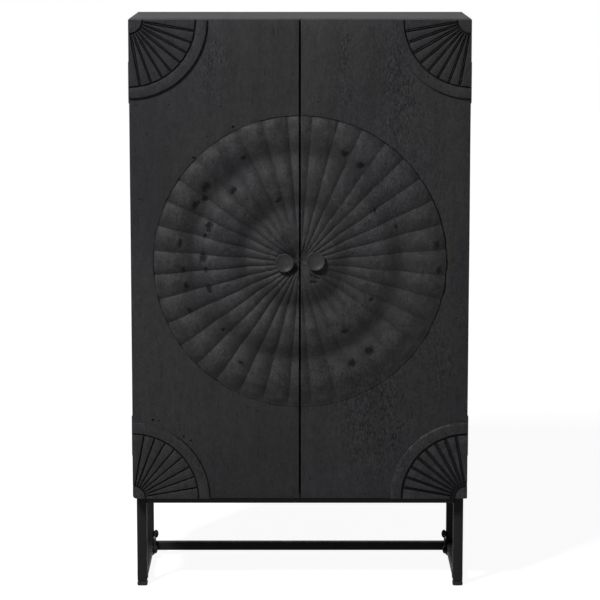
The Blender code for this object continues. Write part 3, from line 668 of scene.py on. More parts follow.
@dataclass(frozen=True)
class PowderCoat(TwoTone):
    """Black powder coat: a fine orange-peel skin with a soft sheen, and a little dust."""

    tone: Colour = (0.0118, 0.0118, 0.0120)
    second_tone: Colour = (0.0150, 0.0150, 0.0150)
    mixing: Noise = Noise((30.0, 30.0, 12.0), 4.0, 0.6, span=(0.45, 0.75))
    skin: Noise = Noise((900.0, 900.0, 900.0), 2.0)
    sheen: Noise = Noise((30.0, 30.0, 12.0), 4.0, 0.6)
    roughness: float = 0.55
    roughness_span: Span = (0.50, 0.63)
    specular: float = 0.08
    relief: float = 0.00012
    strength: float = 0.5


@dataclass(frozen=True)
class DustyCoat(PowderCoat):
    """The same coat, paler: painted light for the front rail, which lies in the doors' shadow."""

    tone: Colour = (0.021, 0.021, 0.021)
    second_tone: Colour = (0.027, 0.027, 0.027)


@dataclass(frozen=True)
class BlackenedSteel(TwoTone):
    """Oiled black steel, brushed along its length and worn a little where it rubs."""

    tone: Colour = (0.020, 0.020, 0.021)
    second_tone: Colour = (0.075, 0.074, 0.072)
    mixing: Noise = Noise((60.0, 60.0, 40.0), 4.0, 0.7, span=(0.56, 0.74))
    skin: Noise = Noise((500.0, 500.0, 24.0))
    sheen: Noise = skin
    roughness: float = 0.40
    roughness_span: Span = (0.32, 0.48)
    metallic: float = 0.7


@dataclass(frozen=True)
class PlatedSteel(TwoTone):
    """Zinc-plated steel with a cloudy sheen."""

    tone: Colour = (0.42, 0.42, 0.40)
    second_tone: Colour = (0.30, 0.30, 0.29)
    mixing: Noise = Noise((180.0, 180.0, 180.0), 4.0, 0.6, span=(0.4, 0.65))
    skin: Noise = Noise((180.0, 180.0, 180.0), 4.0, 0.6)
    sheen: Noise = skin
    roughness: float = 0.34
    roughness_span: Span = (0.28, 0.44)
    metallic: float = 1.0
    relief: float = 0.00005


@dataclass(frozen=True)
class MouldedPlastic(TwoTone):
    """Black moulded plastic with a fine spark-eroded skin and pale scuffs."""

    tone: Colour = (0.020, 0.020, 0.020)
    second_tone: Colour = (0.034, 0.034, 0.034)
    mixing: Noise = Noise((80.0, 80.0, 80.0), 4.0, 0.7, span=(0.5, 0.8))
    skin: Noise = Noise((1400.0, 1400.0, 1400.0), 2.0)
    roughness: float = 0.55
    specular: float = 0.12
    strength: float = 0.5


@dataclass(frozen=True)
class KnobLacquer:
    """Smooth charcoal lacquer over turned wood, with faint rings left by the tool."""

    name: str
    centre: Place
    tone: Colour = (0.0215, 0.0215, 0.0215)
    pale_tone: Colour = (0.0275, 0.0275, 0.0275)
    clouds: Noise = Noise((90.0, 90.0, 60.0), 4.0, 0.6)
    pale_span: Span = (0.38, 0.66)
    ring_waves: float = 900.0
    ring_height: float = 0.2
    roughness: float = 0.48
    roughness_span: Span = (0.43, 0.55)
    specular: float = 0.14
    relief: float = 0.00025
    strength: float = 0.5

    def make(self) -> Material:
        """Make the lacquer of a knob that was turned round its centre.

        Returns:
            The material.
        """
        graph = Graph(self.name, self.roughness, self.specular)
        distance = graph.add("ShaderNodeVectorMath", operation="DISTANCE")
        graph.feed(distance.inputs[0], graph.place)
        graph.feed(distance.inputs[1], self.centre)
        waves = graph.times(distance.outputs["Value"], self.ring_waves)
        rings = graph.times(graph.calculate("SINE", waves), self.ring_height)
        clouds = graph.noise(self.clouds)
        colour = graph.mix(graph.remap(clouds, self.pale_span, UNIT), self.tone, self.pale_tone)
        roughness = graph.remap(clouds, self.clouds.span, self.roughness_span)
        height = graph.plus(clouds, rings)
        return graph.finish(colour, roughness, height, self.relief, self.strength)


class Finishes:
    """The cabinet's materials, made once and shared by its pieces."""

    def __init__(self) -> None:
        """Make each finish."""
        self.upright_wood = BlackWood("black_wood_upright").make()
        self.level_wood = BlackWood("black_wood_level", grain=Axis.X).make()
        self.carved_wood = BlackWood("carved_black_wood", carved=True).make()
        self.inside_board = InsideBoard("inside_board").make()
        self.back_board = InsideBoard("back_board", grain=Axis.Z).make()
        self.frame_coat = PowderCoat("frame_powder_coat").make()
        self.rail_coat = DustyCoat("rail_powder_coat").make()
        self.hinge_steel = BlackenedSteel("hinge_steel").make()
        self.plated_steel = PlatedSteel("plated_steel").make()
        self.plastic = MouldedPlastic("moulded_plastic").make()


# Mesh tools


def arc(centre: tuple[float, float], radius: float, start: float, end: float, steps: int) -> Profile:
    """Return points on an arc, with both ends.

    Args:
        centre: The arc's centre.
        radius: Its radius.
        start: The first angle in degrees.
        end: The last angle in degrees.
        steps: How many chords it has.

    Returns:
        The points, from start to end.
    """
    points = []
    for step in range(steps + 1):
        angle = math.radians(start + (end - start) * step / steps)
        points.append((centre[0] + radius * math.cos(angle), centre[1] + radius * math.sin(angle)))
    return points


def rounded_box_outline(low: tuple[float, float], high: tuple[float, float],
                        radius: float, steps: int) -> Profile:
    """Return the outline of a rectangle with rounded corners.

    Args:
        low: The lowest corner.
        high: The highest corner.
        radius: The corners' radius.
        steps: How many chords each corner has.

    Returns:
        The outline's points.
    """
    corners = ((high[0] - radius, high[1] - radius), (low[0] + radius, high[1] - radius),
               (low[0] + radius, low[1] + radius), (high[0] - radius, low[1] + radius))
    outline: Profile = []
    for quarter, centre in enumerate(corners):
        outline += arc(centre, radius, 90 * quarter, 90 * (quarter + 1), steps)
    return outline


def wall(shape: Solid, lower: Sequence[Vertex],
         upper: Sequence[Vertex]) -> None:
    """Add the wall between two closed loops of vertices.

    Args:
        shape: The mesh that holds both loops.
        lower: The first loop.
        upper: The second loop, which has as many vertices.
    """
    for k in range(len(lower)):
        after = (k + 1) % len(lower)
        shape.faces.new((lower[k], lower[after], upper[after], upper[k]))


def sheet(shape: Solid, grid: Sequence[Sequence[Vertex]]) -> None:
    """Add the faces between a grid's rows.

    Args:
        shape: The mesh that holds the grid.
        grid: The rows of vertices, all of one length.
    """
    for inner, outer in zip(grid, grid[1:]):
        for j in range(len(inner) - 1):
            shape.faces.new((inner[j], outer[j], outer[j + 1], inner[j + 1]))


def prism(outline: Profile, axis: Axis, start: float, end: float) -> Solid:
    """Return an outline swept along an axis as a closed solid.

    Args:
        outline: Pairs of the two other coordinates, in the order X, Y, Z.
        axis: The direction of the sweep.
        start: Where the sweep starts.
        end: Where it ends.

    Returns:
        The solid.
    """
    shape = bmesh.new()
    rings = []
    for level in (start, end):
        ring = []
        for pair in outline:
            point = list(pair)
            point.insert(axis.value, level)
            ring.append(shape.verts.new(point))
        rings.append(ring)
    for ring in rings:
        shape.faces.new(ring)
    wall(shape, rings[0], rings[1])
    return shape


def turned(profile: Profile, base: Sequence[float], direction: Sequence[float],
           segments: int) -> Solid:
    """Return a solid of revolution.

    Args:
        profile: Pairs of radius and distance, from the axis round to the axis.
        base: The point on the axis where the distance is 0.
        direction: The axis.
        segments: How many facets go round.

    Returns:
        The solid.
    """
    shape = bmesh.new()
    turn = Vector((0, 0, 1)).rotation_difference(Vector(direction)).to_matrix()
    origin = Vector(base)

    def vertex(radius: float, angle: float, distance: float) -> Vertex:
        """Return a new vertex at a radius, a turn and a distance along the axis."""
        place = Vector((radius * math.cos(angle), radius * math.sin(angle), distance))
        return shape.verts.new(origin + turn @ place)

    start = vertex(0, 0, profile[0][1])
    end = vertex(0, 0, profile[-1][1])
    angles = [2 * math.pi * k / segments for k in range(segments)]
    rings = [[vertex(radius, angle, distance) for angle in angles] for radius, distance in profile[1:-1]]
    for k in range(segments):
        after = (k + 1) % segments
        shape.faces.new((start, rings[0][k], rings[0][after]))
        shape.faces.new((end, rings[-1][after], rings[-1][k]))
        for lower, upper in zip(rings, rings[1:]):
            shape.faces.new((lower[k], upper[k], upper[after], lower[after]))
    return shape


def rod(radius: float, start: float, end: float) -> Profile:
    """Return the profile of a plain cylinder between two distances."""
    return [(0, start), (radius, start), (radius, end), (0, end)]


def block(low: Sequence[float], high: Sequence[float]) -> Solid:
    """Return a box between two corners, for a cut."""
    return prism([(low[0], low[1]), (high[0], low[1]), (high[0], high[1]), (low[0], high[1])],
                 Axis.Z, low[2], high[2])


def joined(shapes: Sequence[Solid]) -> Solid:
    """Join several solids in one mesh, and free them.

    Args:
        shapes: The solids.

    Returns:
        The mesh that holds them all.
    """
    whole = bmesh.new()
    for shape in shapes:
        mesh = bpy.data.meshes.new("joining")
        shape.to_mesh(mesh)
        shape.free()
        whole.from_mesh(mesh)
        bpy.data.meshes.remove(mesh)
    return whole


def to_object(name: str, shape: Solid) -> Piece:
    """Put a solid in the scene, and free it.

    Args:
        name: The object's name.
        shape: The solid.

    Returns:
        The object.
    """
    bmesh.ops.recalc_face_normals(shape, faces=shape.faces)
    mesh = bpy.data.meshes.new(name)
    shape.to_mesh(mesh)
    shape.free()
    item = bpy.data.objects.new(name, mesh)
    bpy.context.scene.collection.objects.link(item)
    return item


def soften(item: Piece, width: float) -> None:
    """Round a piece's hard edges.

    Args:
        item: The piece.
        width: How wide the rounding is.
    """
    bevel = item.modifiers.new("softened_edges", "BEVEL")
    bevel.width = width
    bevel.segments = SOFT_SEGMENTS
    bevel.limit_method = "ANGLE"
    bevel.angle_limit = math.radians(SOFT_ANGLE)


def settle(item: Piece, cuts: Sequence[Solid]) -> Piece:
    """Cut solids out of a piece and keep the result as its mesh.

    Args:
        item: The piece.
        cuts: The solids.

    Returns:
        The piece.
    """
    tools = [to_object("cut", cut) for cut in cuts]
    for tool in tools:
        change = item.modifiers.new("cut", "BOOLEAN")
        change.operation = "DIFFERENCE"
        change.solver = "EXACT"
        change.object = tool
    seen = item.evaluated_get(bpy.context.evaluated_depsgraph_get())
    mesh = bpy.data.meshes.new_from_object(seen)
    item.modifiers.clear()
    item.data = mesh
    for tool in tools:
        bpy.data.objects.remove(tool, do_unlink=True)
    return item


def mount(item: Piece, finish: Material, slot: Slot, body: str,
          *stands_for: str) -> None:
    """Dress a piece, fasten it to its body and report it.

    Args:
        item: The piece, in its place.
        finish: Its material.
        slot: The record's slot of its finish; not used.
        body: The CAD body that it rides on.
        stands_for: The CAD nodes that it replaces.
    """
    item.data.materials.clear()
    item.data.materials.append(finish)
    item.data.shade_smooth()
    item.data.set_sharp_from_angle(angle=math.radians(SHARP_ANGLE))
    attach(item, body)
    if stands_for:
        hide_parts(*stands_for)
    log.info("%s: %d faces on %s", item.name, len(item.data.polygons), body)


def dress(finish: Material, *nodes: str) -> None:
    """Give CAD nodes a finish.

    Args:
        finish: The material.
        nodes: The nodes.
    """
    for name in nodes:
        materials = frame["nodes"][name].data.materials
        materials.clear()
        materials.append(finish)
        log.info("%s: dressed in %s", name, finish.name)


def middle_of(node: str) -> Vector:
    """Return the middle of a CAD node's box."""
    low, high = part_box(node)
    return (low + high) / 2


def hinge_axis(side: Side) -> Sequence[float]:
    """Return the place of a door's hinge axis in the frame."""
    return next(joint["pos_m"] for joint in frame["joints"] if joint["child"] == f"door_{side.label}")


def smooth(value: Array, low: float, high: float) -> Array:
    """Return 0 below low, 1 above high and a smooth step between them."""
    share = np.clip((value - low) / (high - low), 0, 1)
    return share * share * (3 - 2 * share)


def eased(value: float, low: float, high: float) -> float:
    """Return the smooth step of one number."""
    return float(smooth(np.array(value), low, high))


def rounding(distance: Array, radius: float) -> Array:
    """Return how far a rounded edge lies under its face at distances from the edge."""
    inside = np.clip(radius - distance, 0, radius)
    return radius - np.sqrt(radius * radius - inside * inside)


# Doors


FORWARD = (0, -1, 0)
WORN_CORNERS = {Side.LEFT: 0.009, Side.RIGHT: 0.003}
DENT_BOWL = ((0.0, -1.0), (0.55, -0.84), (0.9, -0.4), (1.0, 0.0), (1.1, 1.0), (0.0, 1.0))


@dataclass
class Plank:
    """A door's slab: softened edges, hand-planed sides, the sunburst's seat and the hinges' mortises."""

    side: Side
    finishes: Finishes
    edge_radius: float = 0.0018
    upper_corner_radius: float = 0.002
    upper_corner_bend: float = 0.3
    lower_corner_steps: int = 6
    plane_marks: float = 0.0004
    long_wave: float = 7.1
    short_wave: float = 17.3
    short_share: float = 0.6
    end_margin: float = 0.03
    stations: int = 22
    seat_depth: float = 0.006
    seat_segments: int = 256
    rim_gap: float = 0.0004
    mortise_clearance: float = 0.0003
    leaf_thickness: float = 0.0015
    leaf_offset: float = 0.001
    barrel_hollow: float = 0.0032
    hollow_segments: int = 32
    screw_hole: float = 0.0023
    hole_segments: int = 24
    dent_segments: int = 20

    def drift(self, height: float, first: float, second: float) -> float:
        """Return how far a long side lies inside its limit.

        Args:
            height: The height on the slab.
            first: The phase of the side's long wave.
            second: The phase of its short wave.

        Returns:
            The distance, from 0 to the depth of the plane's marks.
        """
        wave = math.sin(self.long_wave * height + first)
        wave += self.short_share * math.sin(self.short_wave * height + second)
        most = 1 + self.short_share
        return self.plane_marks * (most + wave) / (2 * most)

    def outline(self) -> Profile:
        """Return the slab's outline of (x, z), with a slight wander along both long sides.

        Returns:
            The points, from the lower inner corner round by the outer side.
        """
        low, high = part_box(f"door_panel_{self.side.label}")
        inner, outer = (low.x, high.x) if self.side is Side.RIGHT else (high.x, low.x)
        sign = self.side.value
        corner, top = WORN_CORNERS[self.side], self.upper_corner_radius
        bend = top * self.upper_corner_bend
        wander = random.Random(self.side.label)
        phases = [wander.uniform(0, math.tau) for _ in range(4)]
        turns = [math.pi / 2 * k / self.lower_corner_steps for k in range(self.lower_corner_steps + 1)]
        reach = high.z - low.z - 2 * self.end_margin
        heights = [low.z + self.end_margin + reach * k / self.stations for k in range(self.stations + 1)]
        outline = [(inner + sign * self.drift(low.z, *phases[:2]), low.z)]
        outline += [(outer - sign * (corner - corner * math.sin(turn)),
                     low.z + corner - corner * math.cos(turn)) for turn in turns]
        outline += [(outer - sign * self.drift(height, *phases[2:]), height) for height in heights]
        outline += [(outer, high.z - top), (outer - sign * bend, high.z - bend), (outer - sign * top, high.z)]
        outline += [(inner, high.z)]
        outline += [(inner + sign * self.drift(height, *phases[:2]), height) for height in reversed(heights)]
        return outline

    def dents(self, face_y: float) -> list[Solid]:
        """Return the round-bottomed cuts of this door's dents.

        Args:
            face_y: Where the door's face lies.

        Returns:
            The cuts.
        """
        cuts = []
        for dent in DENTS:
            if dent.x * self.side.value > 0:
                bowl = [(out * dent.radius, up * dent.radius) for out, up in DENT_BOWL]
                cuts.append(turned(bowl, (dent.x, face_y, dent.z), FORWARD, self.dent_segments))
        return cuts

    def mortises(self, back_y: float) -> list[Solid]:
        """Return the cuts that take in the hinges' leaves and barrels.

        Args:
            back_y: Where the door's back lies.

        Returns:
            The cuts, two for each hinge.
        """
        label, gap = self.side.label, self.mortise_clearance
        axis = Vector(hinge_axis(self.side))
        depth = back_y - (axis.y - self.leaf_offset) + self.leaf_thickness + gap
        cuts = []
        for level in Level:
            leaf_low, leaf_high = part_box(f"hinge_door_leaf_{level}_{label}")
            pin_low, pin_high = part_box(f"hinge_pin_{level}_{label}")
            near, far = leaf_low.x - gap, axis.x + self.barrel_hollow
            if self.side is Side.LEFT:
                near, far = axis.x - self.barrel_hollow, leaf_high.x + gap
            cuts.append(block((near, back_y - depth, leaf_low.z - gap),
                              (far, back_y + gap, leaf_high.z + gap)))
            hollow = rod(self.barrel_hollow, 0, pin_high.z - pin_low.z + 4 * gap)
            foot = (axis.x, axis.y, pin_low.z - 2 * gap)
            cuts.append(turned(hollow, foot, (0, 0, 1), self.hollow_segments))
        return cuts

    def build(self, radius: float, centre: Vector) -> None:
        """Build the slab and mount it on its door.

        Args:
            radius: The sunburst's radius.
            centre: The sunburst's centre, on the door's face.
        """
        label = self.side.label
        low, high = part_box(f"door_panel_{label}")
        knob = middle_of(f"knob_{label}")
        item = to_object(f"door_slab_{label}", prism(self.outline(), Axis.Y, low.y, high.y))
        soften(item, self.edge_radius)
        seat = rod(radius + self.rim_gap, 0, 2 * self.seat_depth)
        floor = (centre.x, centre.y + self.seat_depth, centre.z)
        hole = rod(self.screw_hole, -self.seat_depth, high.y - low.y)
        settle(item, [turned(seat, floor, FORWARD, self.seat_segments),
                      turned(hole, (knob.x, high.y, knob.z), FORWARD, self.hole_segments),
                      *self.dents(low.y), *self.mortises(high.y)])
        mount(item, self.finishes.upright_wood, Slot.BLACK_WOOD, f"door_{label}", f"door_panel_{label}")


@dataclass(frozen=True)
class Gouge:
    """A place where the gouge dug in: its angle, share of the radius, width, depth, stretch and turn."""

    degrees: float
    share: float
    width: float = 0.0045
    depth: float = 0.0012
    stretch: float = 1.5
    turn: float = 0.0

    def reach(self, x: Array, z: Array, radius: float) -> Array:
        """Return 1 in the gouge's middle, falling to 0 round it, and longest across the petals.

        Args:
            x: Places across the doors, from the sunburst's centre.
            z: Places upwards, from the sunburst's centre.
            radius: The sunburst's radius.

        Returns:
            The gouge's reach at each place.
        """
        aim = math.radians(self.degrees)
        dx, dz = x - self.share * radius * math.cos(aim), z - self.share * radius * math.sin(aim)
        aim += math.radians(self.turn)
        along = dx * math.cos(aim) + dz * math.sin(aim)
        across = (dz * math.cos(aim) - dx * math.sin(aim)) / self.stretch
        return np.exp(-(along * along + across * across) / (self.width * self.width))


GOUGES = tuple(Gouge(*numbers) for numbers in (
    (141, 0.805, 0.0118, 0.0042, 1.1), (146, 0.770, 0.0070, 0.0028, 1.2), (151, 0.800, 0.0086, 0.0034),
    (132.5, 0.660, 0.0080, 0.0034, 1.1), (158.5, 0.655, 0.0076, 0.0034, 1.6),
    (177.5, 0.655, 0.0074, 0.0032, 1.7), (164.5, 0.665, 0.0052, 0.0018, 1.0),
    (171, 0.817, 0.0070, 0.0022, 1.4), (185, 0.640, 0.0046), (197, 0.640, 0.0066, 0.0028, 1.6),
    (192, 0.785, 0.0068, 0.0024, 1.3), (204, 0.818, 0.0060, 0.0022), (184, 0.790, 0.0048),
    (118, 0.805, 0.0060, 0.0012, 1.2), (109, 0.444, 0.0048), (67, 0.800, 0.0080, 0.0036, 1.2),
    (57.4, 0.777, 0.0084, 0.0038, 1.2), (-52.0, 0.785, 0.0100, 0.0052, 1.1),
    (-62.5, 0.790, 0.0092, 0.0046, 1.1), (-27.5, 0.549, 0.0050), (-57, 0.570, 0.0058, 0.0012, 1.6),
    (7.3, 0.945, 0.0060, 0.0012), (-3.4, 0.955, 0.0058, 0.0012), (222, 0.700, 0.0048), (240, 0.800, 0.0050),
    (35, 0.620, 0.0040), (20, 0.700, 0.0040), (-48.0, 0.1225, 0.0034, 0.0026, 2.2, 93),
    (-43.7, 0.153, 0.0034, 0.0026, 2.2, 109), (-54.7, 0.164, 0.0032, 0.0026, 2.6, 145),
))


@dataclass(frozen=True)
class WornPatch:
    """A sector of the sunburst that hands have rubbed smooth: its middle, its half width and its reach."""

    degrees: float
    half_width: float
    start: float
    end: float
    beside: Span = (0.6, 1.3)

    def cover(self, degrees: Array, share: float) -> Array:
        """Return where the petals are gone.

        Args:
            degrees: Directions from the sunburst's centre.
            share: A share of its radius.

        Returns:
            1 where the petals are gone and 0 where they stand.
        """
        away = np.abs((degrees - self.degrees + 180) % 360 - 180)
        beside = 1 - smooth(away, self.half_width * self.beside[0], self.half_width * self.beside[1])
        return beside * (1 - eased(share, self.start, self.end))


WORN_PATCHES = (WornPatch(-52, 44, 0.13, 0.30), WornPatch(105, 18, 0.15, 0.38), WornPatch(80, 26, 0.02, 0.09))

CARVED_DEPTHS = {Side.LEFT: 1.18, Side.RIGHT: 0.94}
# The painted shadow along the rim: direction in degrees, and its strength.
RIM_SHADOW = ((-180, 0.5), (-150, 0.5), (-120, 0.3), (-105, 0.0), (-60, 0.0), (-50, 0.55), (-14, 0.7),
            (-8, 0.95), (32, 0.95), (42, 0.4), (62, 0.15), (100, 0.15), (120, 0.4), (180, 0.5))


@dataclass(frozen=True)
class Ring:
    """One ring of the carving: its door and radius, and each column's angle, petal and place.

    The angle is in degrees from the middle of the door's side, and the place runs from 0 to 1
    across the petal.
    """

    side: Side
    radius: float
    angle: Array
    petal: Array
    place: Array

    @property
    def across(self) -> Array:
        """Return the places across the petals, from -1 to 1."""
        return 2 * self.place - 1


@dataclass
class Sunburst:
    """The carved medallion: convex petals that ride over rings of waves, halved by the doors' gap.

    Each ring of the carving has the same columns, so the carved face is a grid.
    """

    finishes: Finishes
    petals: int = 36
    facets: int = 12
    gap_columns: tuple[float, ...] = (0.0, 0.05, 0.12, 0.22, 0.36, 0.55, 0.77)
    ring_step: float = 0.0027
    core_radius: float = 0.030
    flat_radius: float = 0.016
    inmost_radius: float = 0.004
    plain_rim: float = 0.0035
    rim_rings: tuple[float, ...] = (0.0030, 0.0022, 0.0014, 0.0007, 0.0002, 0.0)
    crown_at_rim: float = 0.0064
    crown_at_centre: float = 0.0014
    crown_variation: float = 0.16
    left_fullness: float = 0.16
    fullness_fade: Span = (-0.2, 0.3)
    wave_mean: float = 0.0030
    wave_height: float = 0.0060
    wave_length: float = 0.132
    wave_roundness: float = 0.6
    valley_softness: float = 0.93
    ridge_radius: float = 0.326
    ring_offset: float = 0.014
    ring_offset_degrees: float = 120.0
    rim_fall: float = 0.82
    rim_lean: float = 0.0004
    rim_lean_degrees: float = 10.0
    rim_lean_width: float = 0.06
    least_thickness: float = 0.0009
    ridge_wander: float = 0.0035
    line_wander: float = 0.35
    rim_scallop: float = 0.0012
    scallop_power: int = 6
    trim_reach: float = 0.03
    rim_rounding: float = 0.0016
    rounding_drop: float = 0.8
    gap_rounding: float = 0.0016
    # Painted shade along the lines between the petals, carried in the mesh's hollow value.
    line_shade: float = 0.16
    line_width: float = 0.0012
    line_start: float = 0.06
    rim_shade_width: float = 0.0026
    rim_shade_inset: float = 0.0008
    rim_breaks: float = 67.0
    rim_break_depth: float = 0.25
    # Painted shade on the disc's side wall, at its foot.
    foot_shade: float = 0.6
    tool_mark: float = 0.00014
    tool_mark_length: float = 0.0087
    # How far the gouges' painted shadow lies up and to the left of their middle, as a share of their width.
    dark_side: float = 0.30
    scrape: float = 0.00016
    scrape_length: float = 0.11
    scrape_start: Span = (0.07, 0.12)
    # Heights over which the painted highlight, partly wear, grows on the ridges.
    rubbed_heights: Span = (0.0040, 0.0105)
    bottom_degrees: float = -75.0
    bottom_span: Span = (18.0, 55.0)
    bottom_gain: float = 0.30
    level_span: Span = (26.0, 78.0)
    level_end: float = 0.0005
    level_reach: Span = (0.060, 0.004)
    level_drop: float = 0.30
    drop_reach: Span = (0.125, 0.070)
    bulge_drop: float = 0.80
    bulge_reach: Span = (0.018, 0.001)
    knob_hole: float = 0.0104
    hole_reach: float = 0.03
    hole_segments: int = 48
    seed: int = 36

    def __post_init__(self) -> None:
        """Read the disc's place from the frame and draw its hand-made variation."""
        low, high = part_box("medallion_right")
        self.radius = high.x
        self.gap = low.x
        self.seat_y = high.y
        self.centre = Vector((0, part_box("door_panel_right")[0].y, (low.z + high.z) / 2))
        draw = random.Random(self.seed)
        count = self.petals
        self.lines = [360 / count * (k - 0.5) + draw.uniform(-1, 1) * self.line_wander for k in range(count)]
        self.crowns = [1 + draw.uniform(-1, 1) * self.crown_variation for _ in range(count)]
        self.shifts = [draw.uniform(-1, 1) * self.ridge_wander for _ in range(count)]
        self.swells = [1 + draw.uniform(-1, 1) * self.crown_variation for _ in range(count)]
        self.trims = [draw.uniform(0, 1) * self.rim_scallop for _ in range(count)]
        self.phases = [draw.uniform(0, math.tau) for _ in range(count)]
        self.scrape_phases = [draw.uniform(0, math.tau) for _ in range(count * self.facets)]

    def near_rim(self, radius: float, reach: Span) -> float:
        """Return 0 at the reach's first distance from the rim and inside it, rising to 1 at its second."""
        return eased(radius, self.radius - reach[0], self.radius - reach[1])

    def near_bottom(self, degrees: Array, span: Span) -> Array:
        """Return 1 within the span's start of the lowest petals, falling to 0 at its end, in degrees."""
        away = np.abs((degrees - self.bottom_degrees + 180) % 360 - 180)
        return 1 - smooth(away, *span)

    def fan_out(self, side: Side) -> list[tuple[int, float, float]]:
        """Find the petals of one door.

        Args:
            side: The door.

        Returns:
            The petals from bottom to top, as (number, start, end) in degrees.
        """
        found = []
        for k in range(self.petals):
            start = self.lines[k]
            end = self.lines[(k + 1) % self.petals] + (360 if k == self.petals - 1 else 0)
            if side is Side.LEFT:
                start, end = 180 - end, 180 - start
            middle = (start + end) / 2
            turns = 360 * round(middle / 360)
            start, end = start - turns, end - turns
            if end > -90 and start < 90:
                found.append((k, start, end))
        return sorted(found, key=lambda petal: petal[1])

    def lay_out(self, side: Side, radius: float) -> Ring:
        """Lay out the columns of one ring.

        Args:
            side: The door.
            radius: The ring's radius.

        Returns:
            The ring.
        """
        fan = self.fan_out(side)
        reach = math.degrees(math.acos(self.gap / max(radius, self.core_radius)))
        angles: list[float] = []
        petals: list[int] = []
        for place, (number, start, end) in enumerate(fan):
            if place == 0:
                shares = [-reach + (end + reach) * share for share in self.gap_columns]
            elif place == len(fan) - 1:
                shares = [reach + (start - reach) * share for share in reversed((*self.gap_columns, 1.0))]
            else:
                shares = [start + (end - start) * k / self.facets for k in range(self.facets)]
            angles += shares
            petals += [number] * len(shares)
        ends = {number: (start, end) for number, start, end in fan}
        spans = np.array([ends[number] for number in petals])
        angle = np.array(angles)
        place_across = (angle - spans[:, 0]) / (spans[:, 1] - spans[:, 0])
        if radius < self.core_radius:
            angle *= math.degrees(math.acos(self.gap / radius)) / reach
        return Ring(side, radius, angle, np.array(petals), place_across)

    def waves(self, ring: Ring, direction: Array) -> Array:
        """Find the height of the waves over the door's face along one ring.

        Args:
            ring: The ring.
            direction: Each column's direction from the centre, in degrees.

        Returns:
            The heights.
        """
        after = (ring.petal + 1) % self.petals
        near, far = (after, ring.petal) if ring.side is Side.LEFT else (ring.petal, after)
        shift, swell = (values[near] * (1 - ring.place) + values[far] * ring.place
                        for values in (np.array(self.shifts), np.array(self.swells)))
        offset = self.ring_offset * np.cos(np.radians(direction - self.ring_offset_degrees))
        past = ring.radius + shift - self.ridge_radius - offset
        half_waves = -past / (self.wave_length / 2)
        softness = self.valley_softness
        from_valley = np.arcsin(softness * np.cos(math.pi * half_waves)) / math.asin(softness)
        from_crest = np.where(past > 0, self.rim_fall * past / (self.radius - self.ridge_radius),
                              (1 - from_valley) / 2)
        wave = (self.wave_roundness * (1 - 2 * from_crest ** 2)
                + (1 - self.wave_roundness) * np.cos(math.pi * from_crest))
        deeper = 1 + self.bottom_gain * self.near_bottom(direction, self.bottom_span)
        return self.wave_mean + self.wave_height * CARVED_DEPTHS[ring.side] * deeper * swell * wave

    def bulge(self, ring: Ring, direction: Array) -> Array:
        """Find how far the petals bulge over the waves along one ring, with the tool's marks on them.

        Args:
            ring: The ring.
            direction: Each column's direction from the centre, in degrees.

        Returns:
            The bulges.
        """
        share = ring.radius / self.radius
        crown = self.crown_at_centre + (self.crown_at_rim - self.crown_at_centre) * share
        crown *= eased(ring.radius, self.flat_radius, self.core_radius)
        for patch in WORN_PATCHES:
            crown = crown * (1 - patch.cover(direction, share))
        upper = smooth(np.sin(np.radians(direction)), *self.fullness_fade)
        fullness = 1 - self.left_fullness * np.sin(np.radians(2 * direction)) * upper
        crowns = np.array(self.crowns)[ring.petal]
        bulge = crown * CARVED_DEPTHS[ring.side] * fullness * crowns * (1 - ring.across * ring.across)
        marks = np.sin(math.tau * ring.radius / self.tool_mark_length + np.array(self.phases)[ring.petal])
        phases = np.array(self.scrape_phases)[:len(ring.petal)]
        scrapes = np.sin(phases + math.tau * ring.radius / self.scrape_length)
        chatter = self.tool_mark * marks + self.scrape * scrapes * eased(ring.radius, *self.scrape_start)
        return bulge + chatter * (1 - ring.across ** 2)

    def carve(self, ring: Ring) -> Array:
        """Carve one ring of a half.

        Args:
            ring: The ring.

        Returns:
            Its x, height, z, painted shade, wear and highlight, and gouge shadow, each over the columns.
        """
        side, radius, across = ring.side, ring.radius, ring.across
        level = self.near_bottom(ring.angle if side is Side.RIGHT else 180 - ring.angle, self.level_span)
        trim = np.array(self.trims)[ring.petal] + self.rim_scallop * np.abs(across) ** self.scallop_power
        length = radius - trim * (1 - level) * self.near_rim(radius, (self.trim_reach, 0))
        turn = np.radians(ring.angle)
        x, z = length * np.cos(turn), length * np.sin(turn)
        direction = np.degrees(np.arctan2(z, side.value * x))
        height = self.waves(ring, direction)
        height *= 1 - self.level_drop * level * self.near_rim(radius, self.drop_reach)
        height += (self.level_end - height) * level * self.near_rim(radius, self.level_reach)
        bulge = self.bulge(ring, direction)
        height += bulge * (1 - self.bulge_drop * level * self.near_rim(radius, self.bulge_reach))
        # Gouges dig into the height; their painted shadow lies up and to the left of each.
        gouged = np.zeros_like(x)
        for gouge in GOUGES:
            height -= gouge.depth * gouge.reach(side.value * x, z, self.radius)
            offset = self.dark_side * gouge.width
            gouged = np.maximum(gouged, gouge.reach(side.value * x + offset, z - offset, self.radius))
        lean = np.cos(np.radians(direction - self.rim_lean_degrees))
        height += self.rim_lean * lean * self.near_rim(radius, (self.rim_lean_width, 0))
        height = np.maximum(height, self.centre.y - self.seat_y + self.least_thickness)
        rim = rounding(np.full_like(x, self.radius - radius), self.rim_rounding)
        height -= rim * (1 - self.rounding_drop * level)
        height -= rounding(x - self.gap, self.gap_rounding)
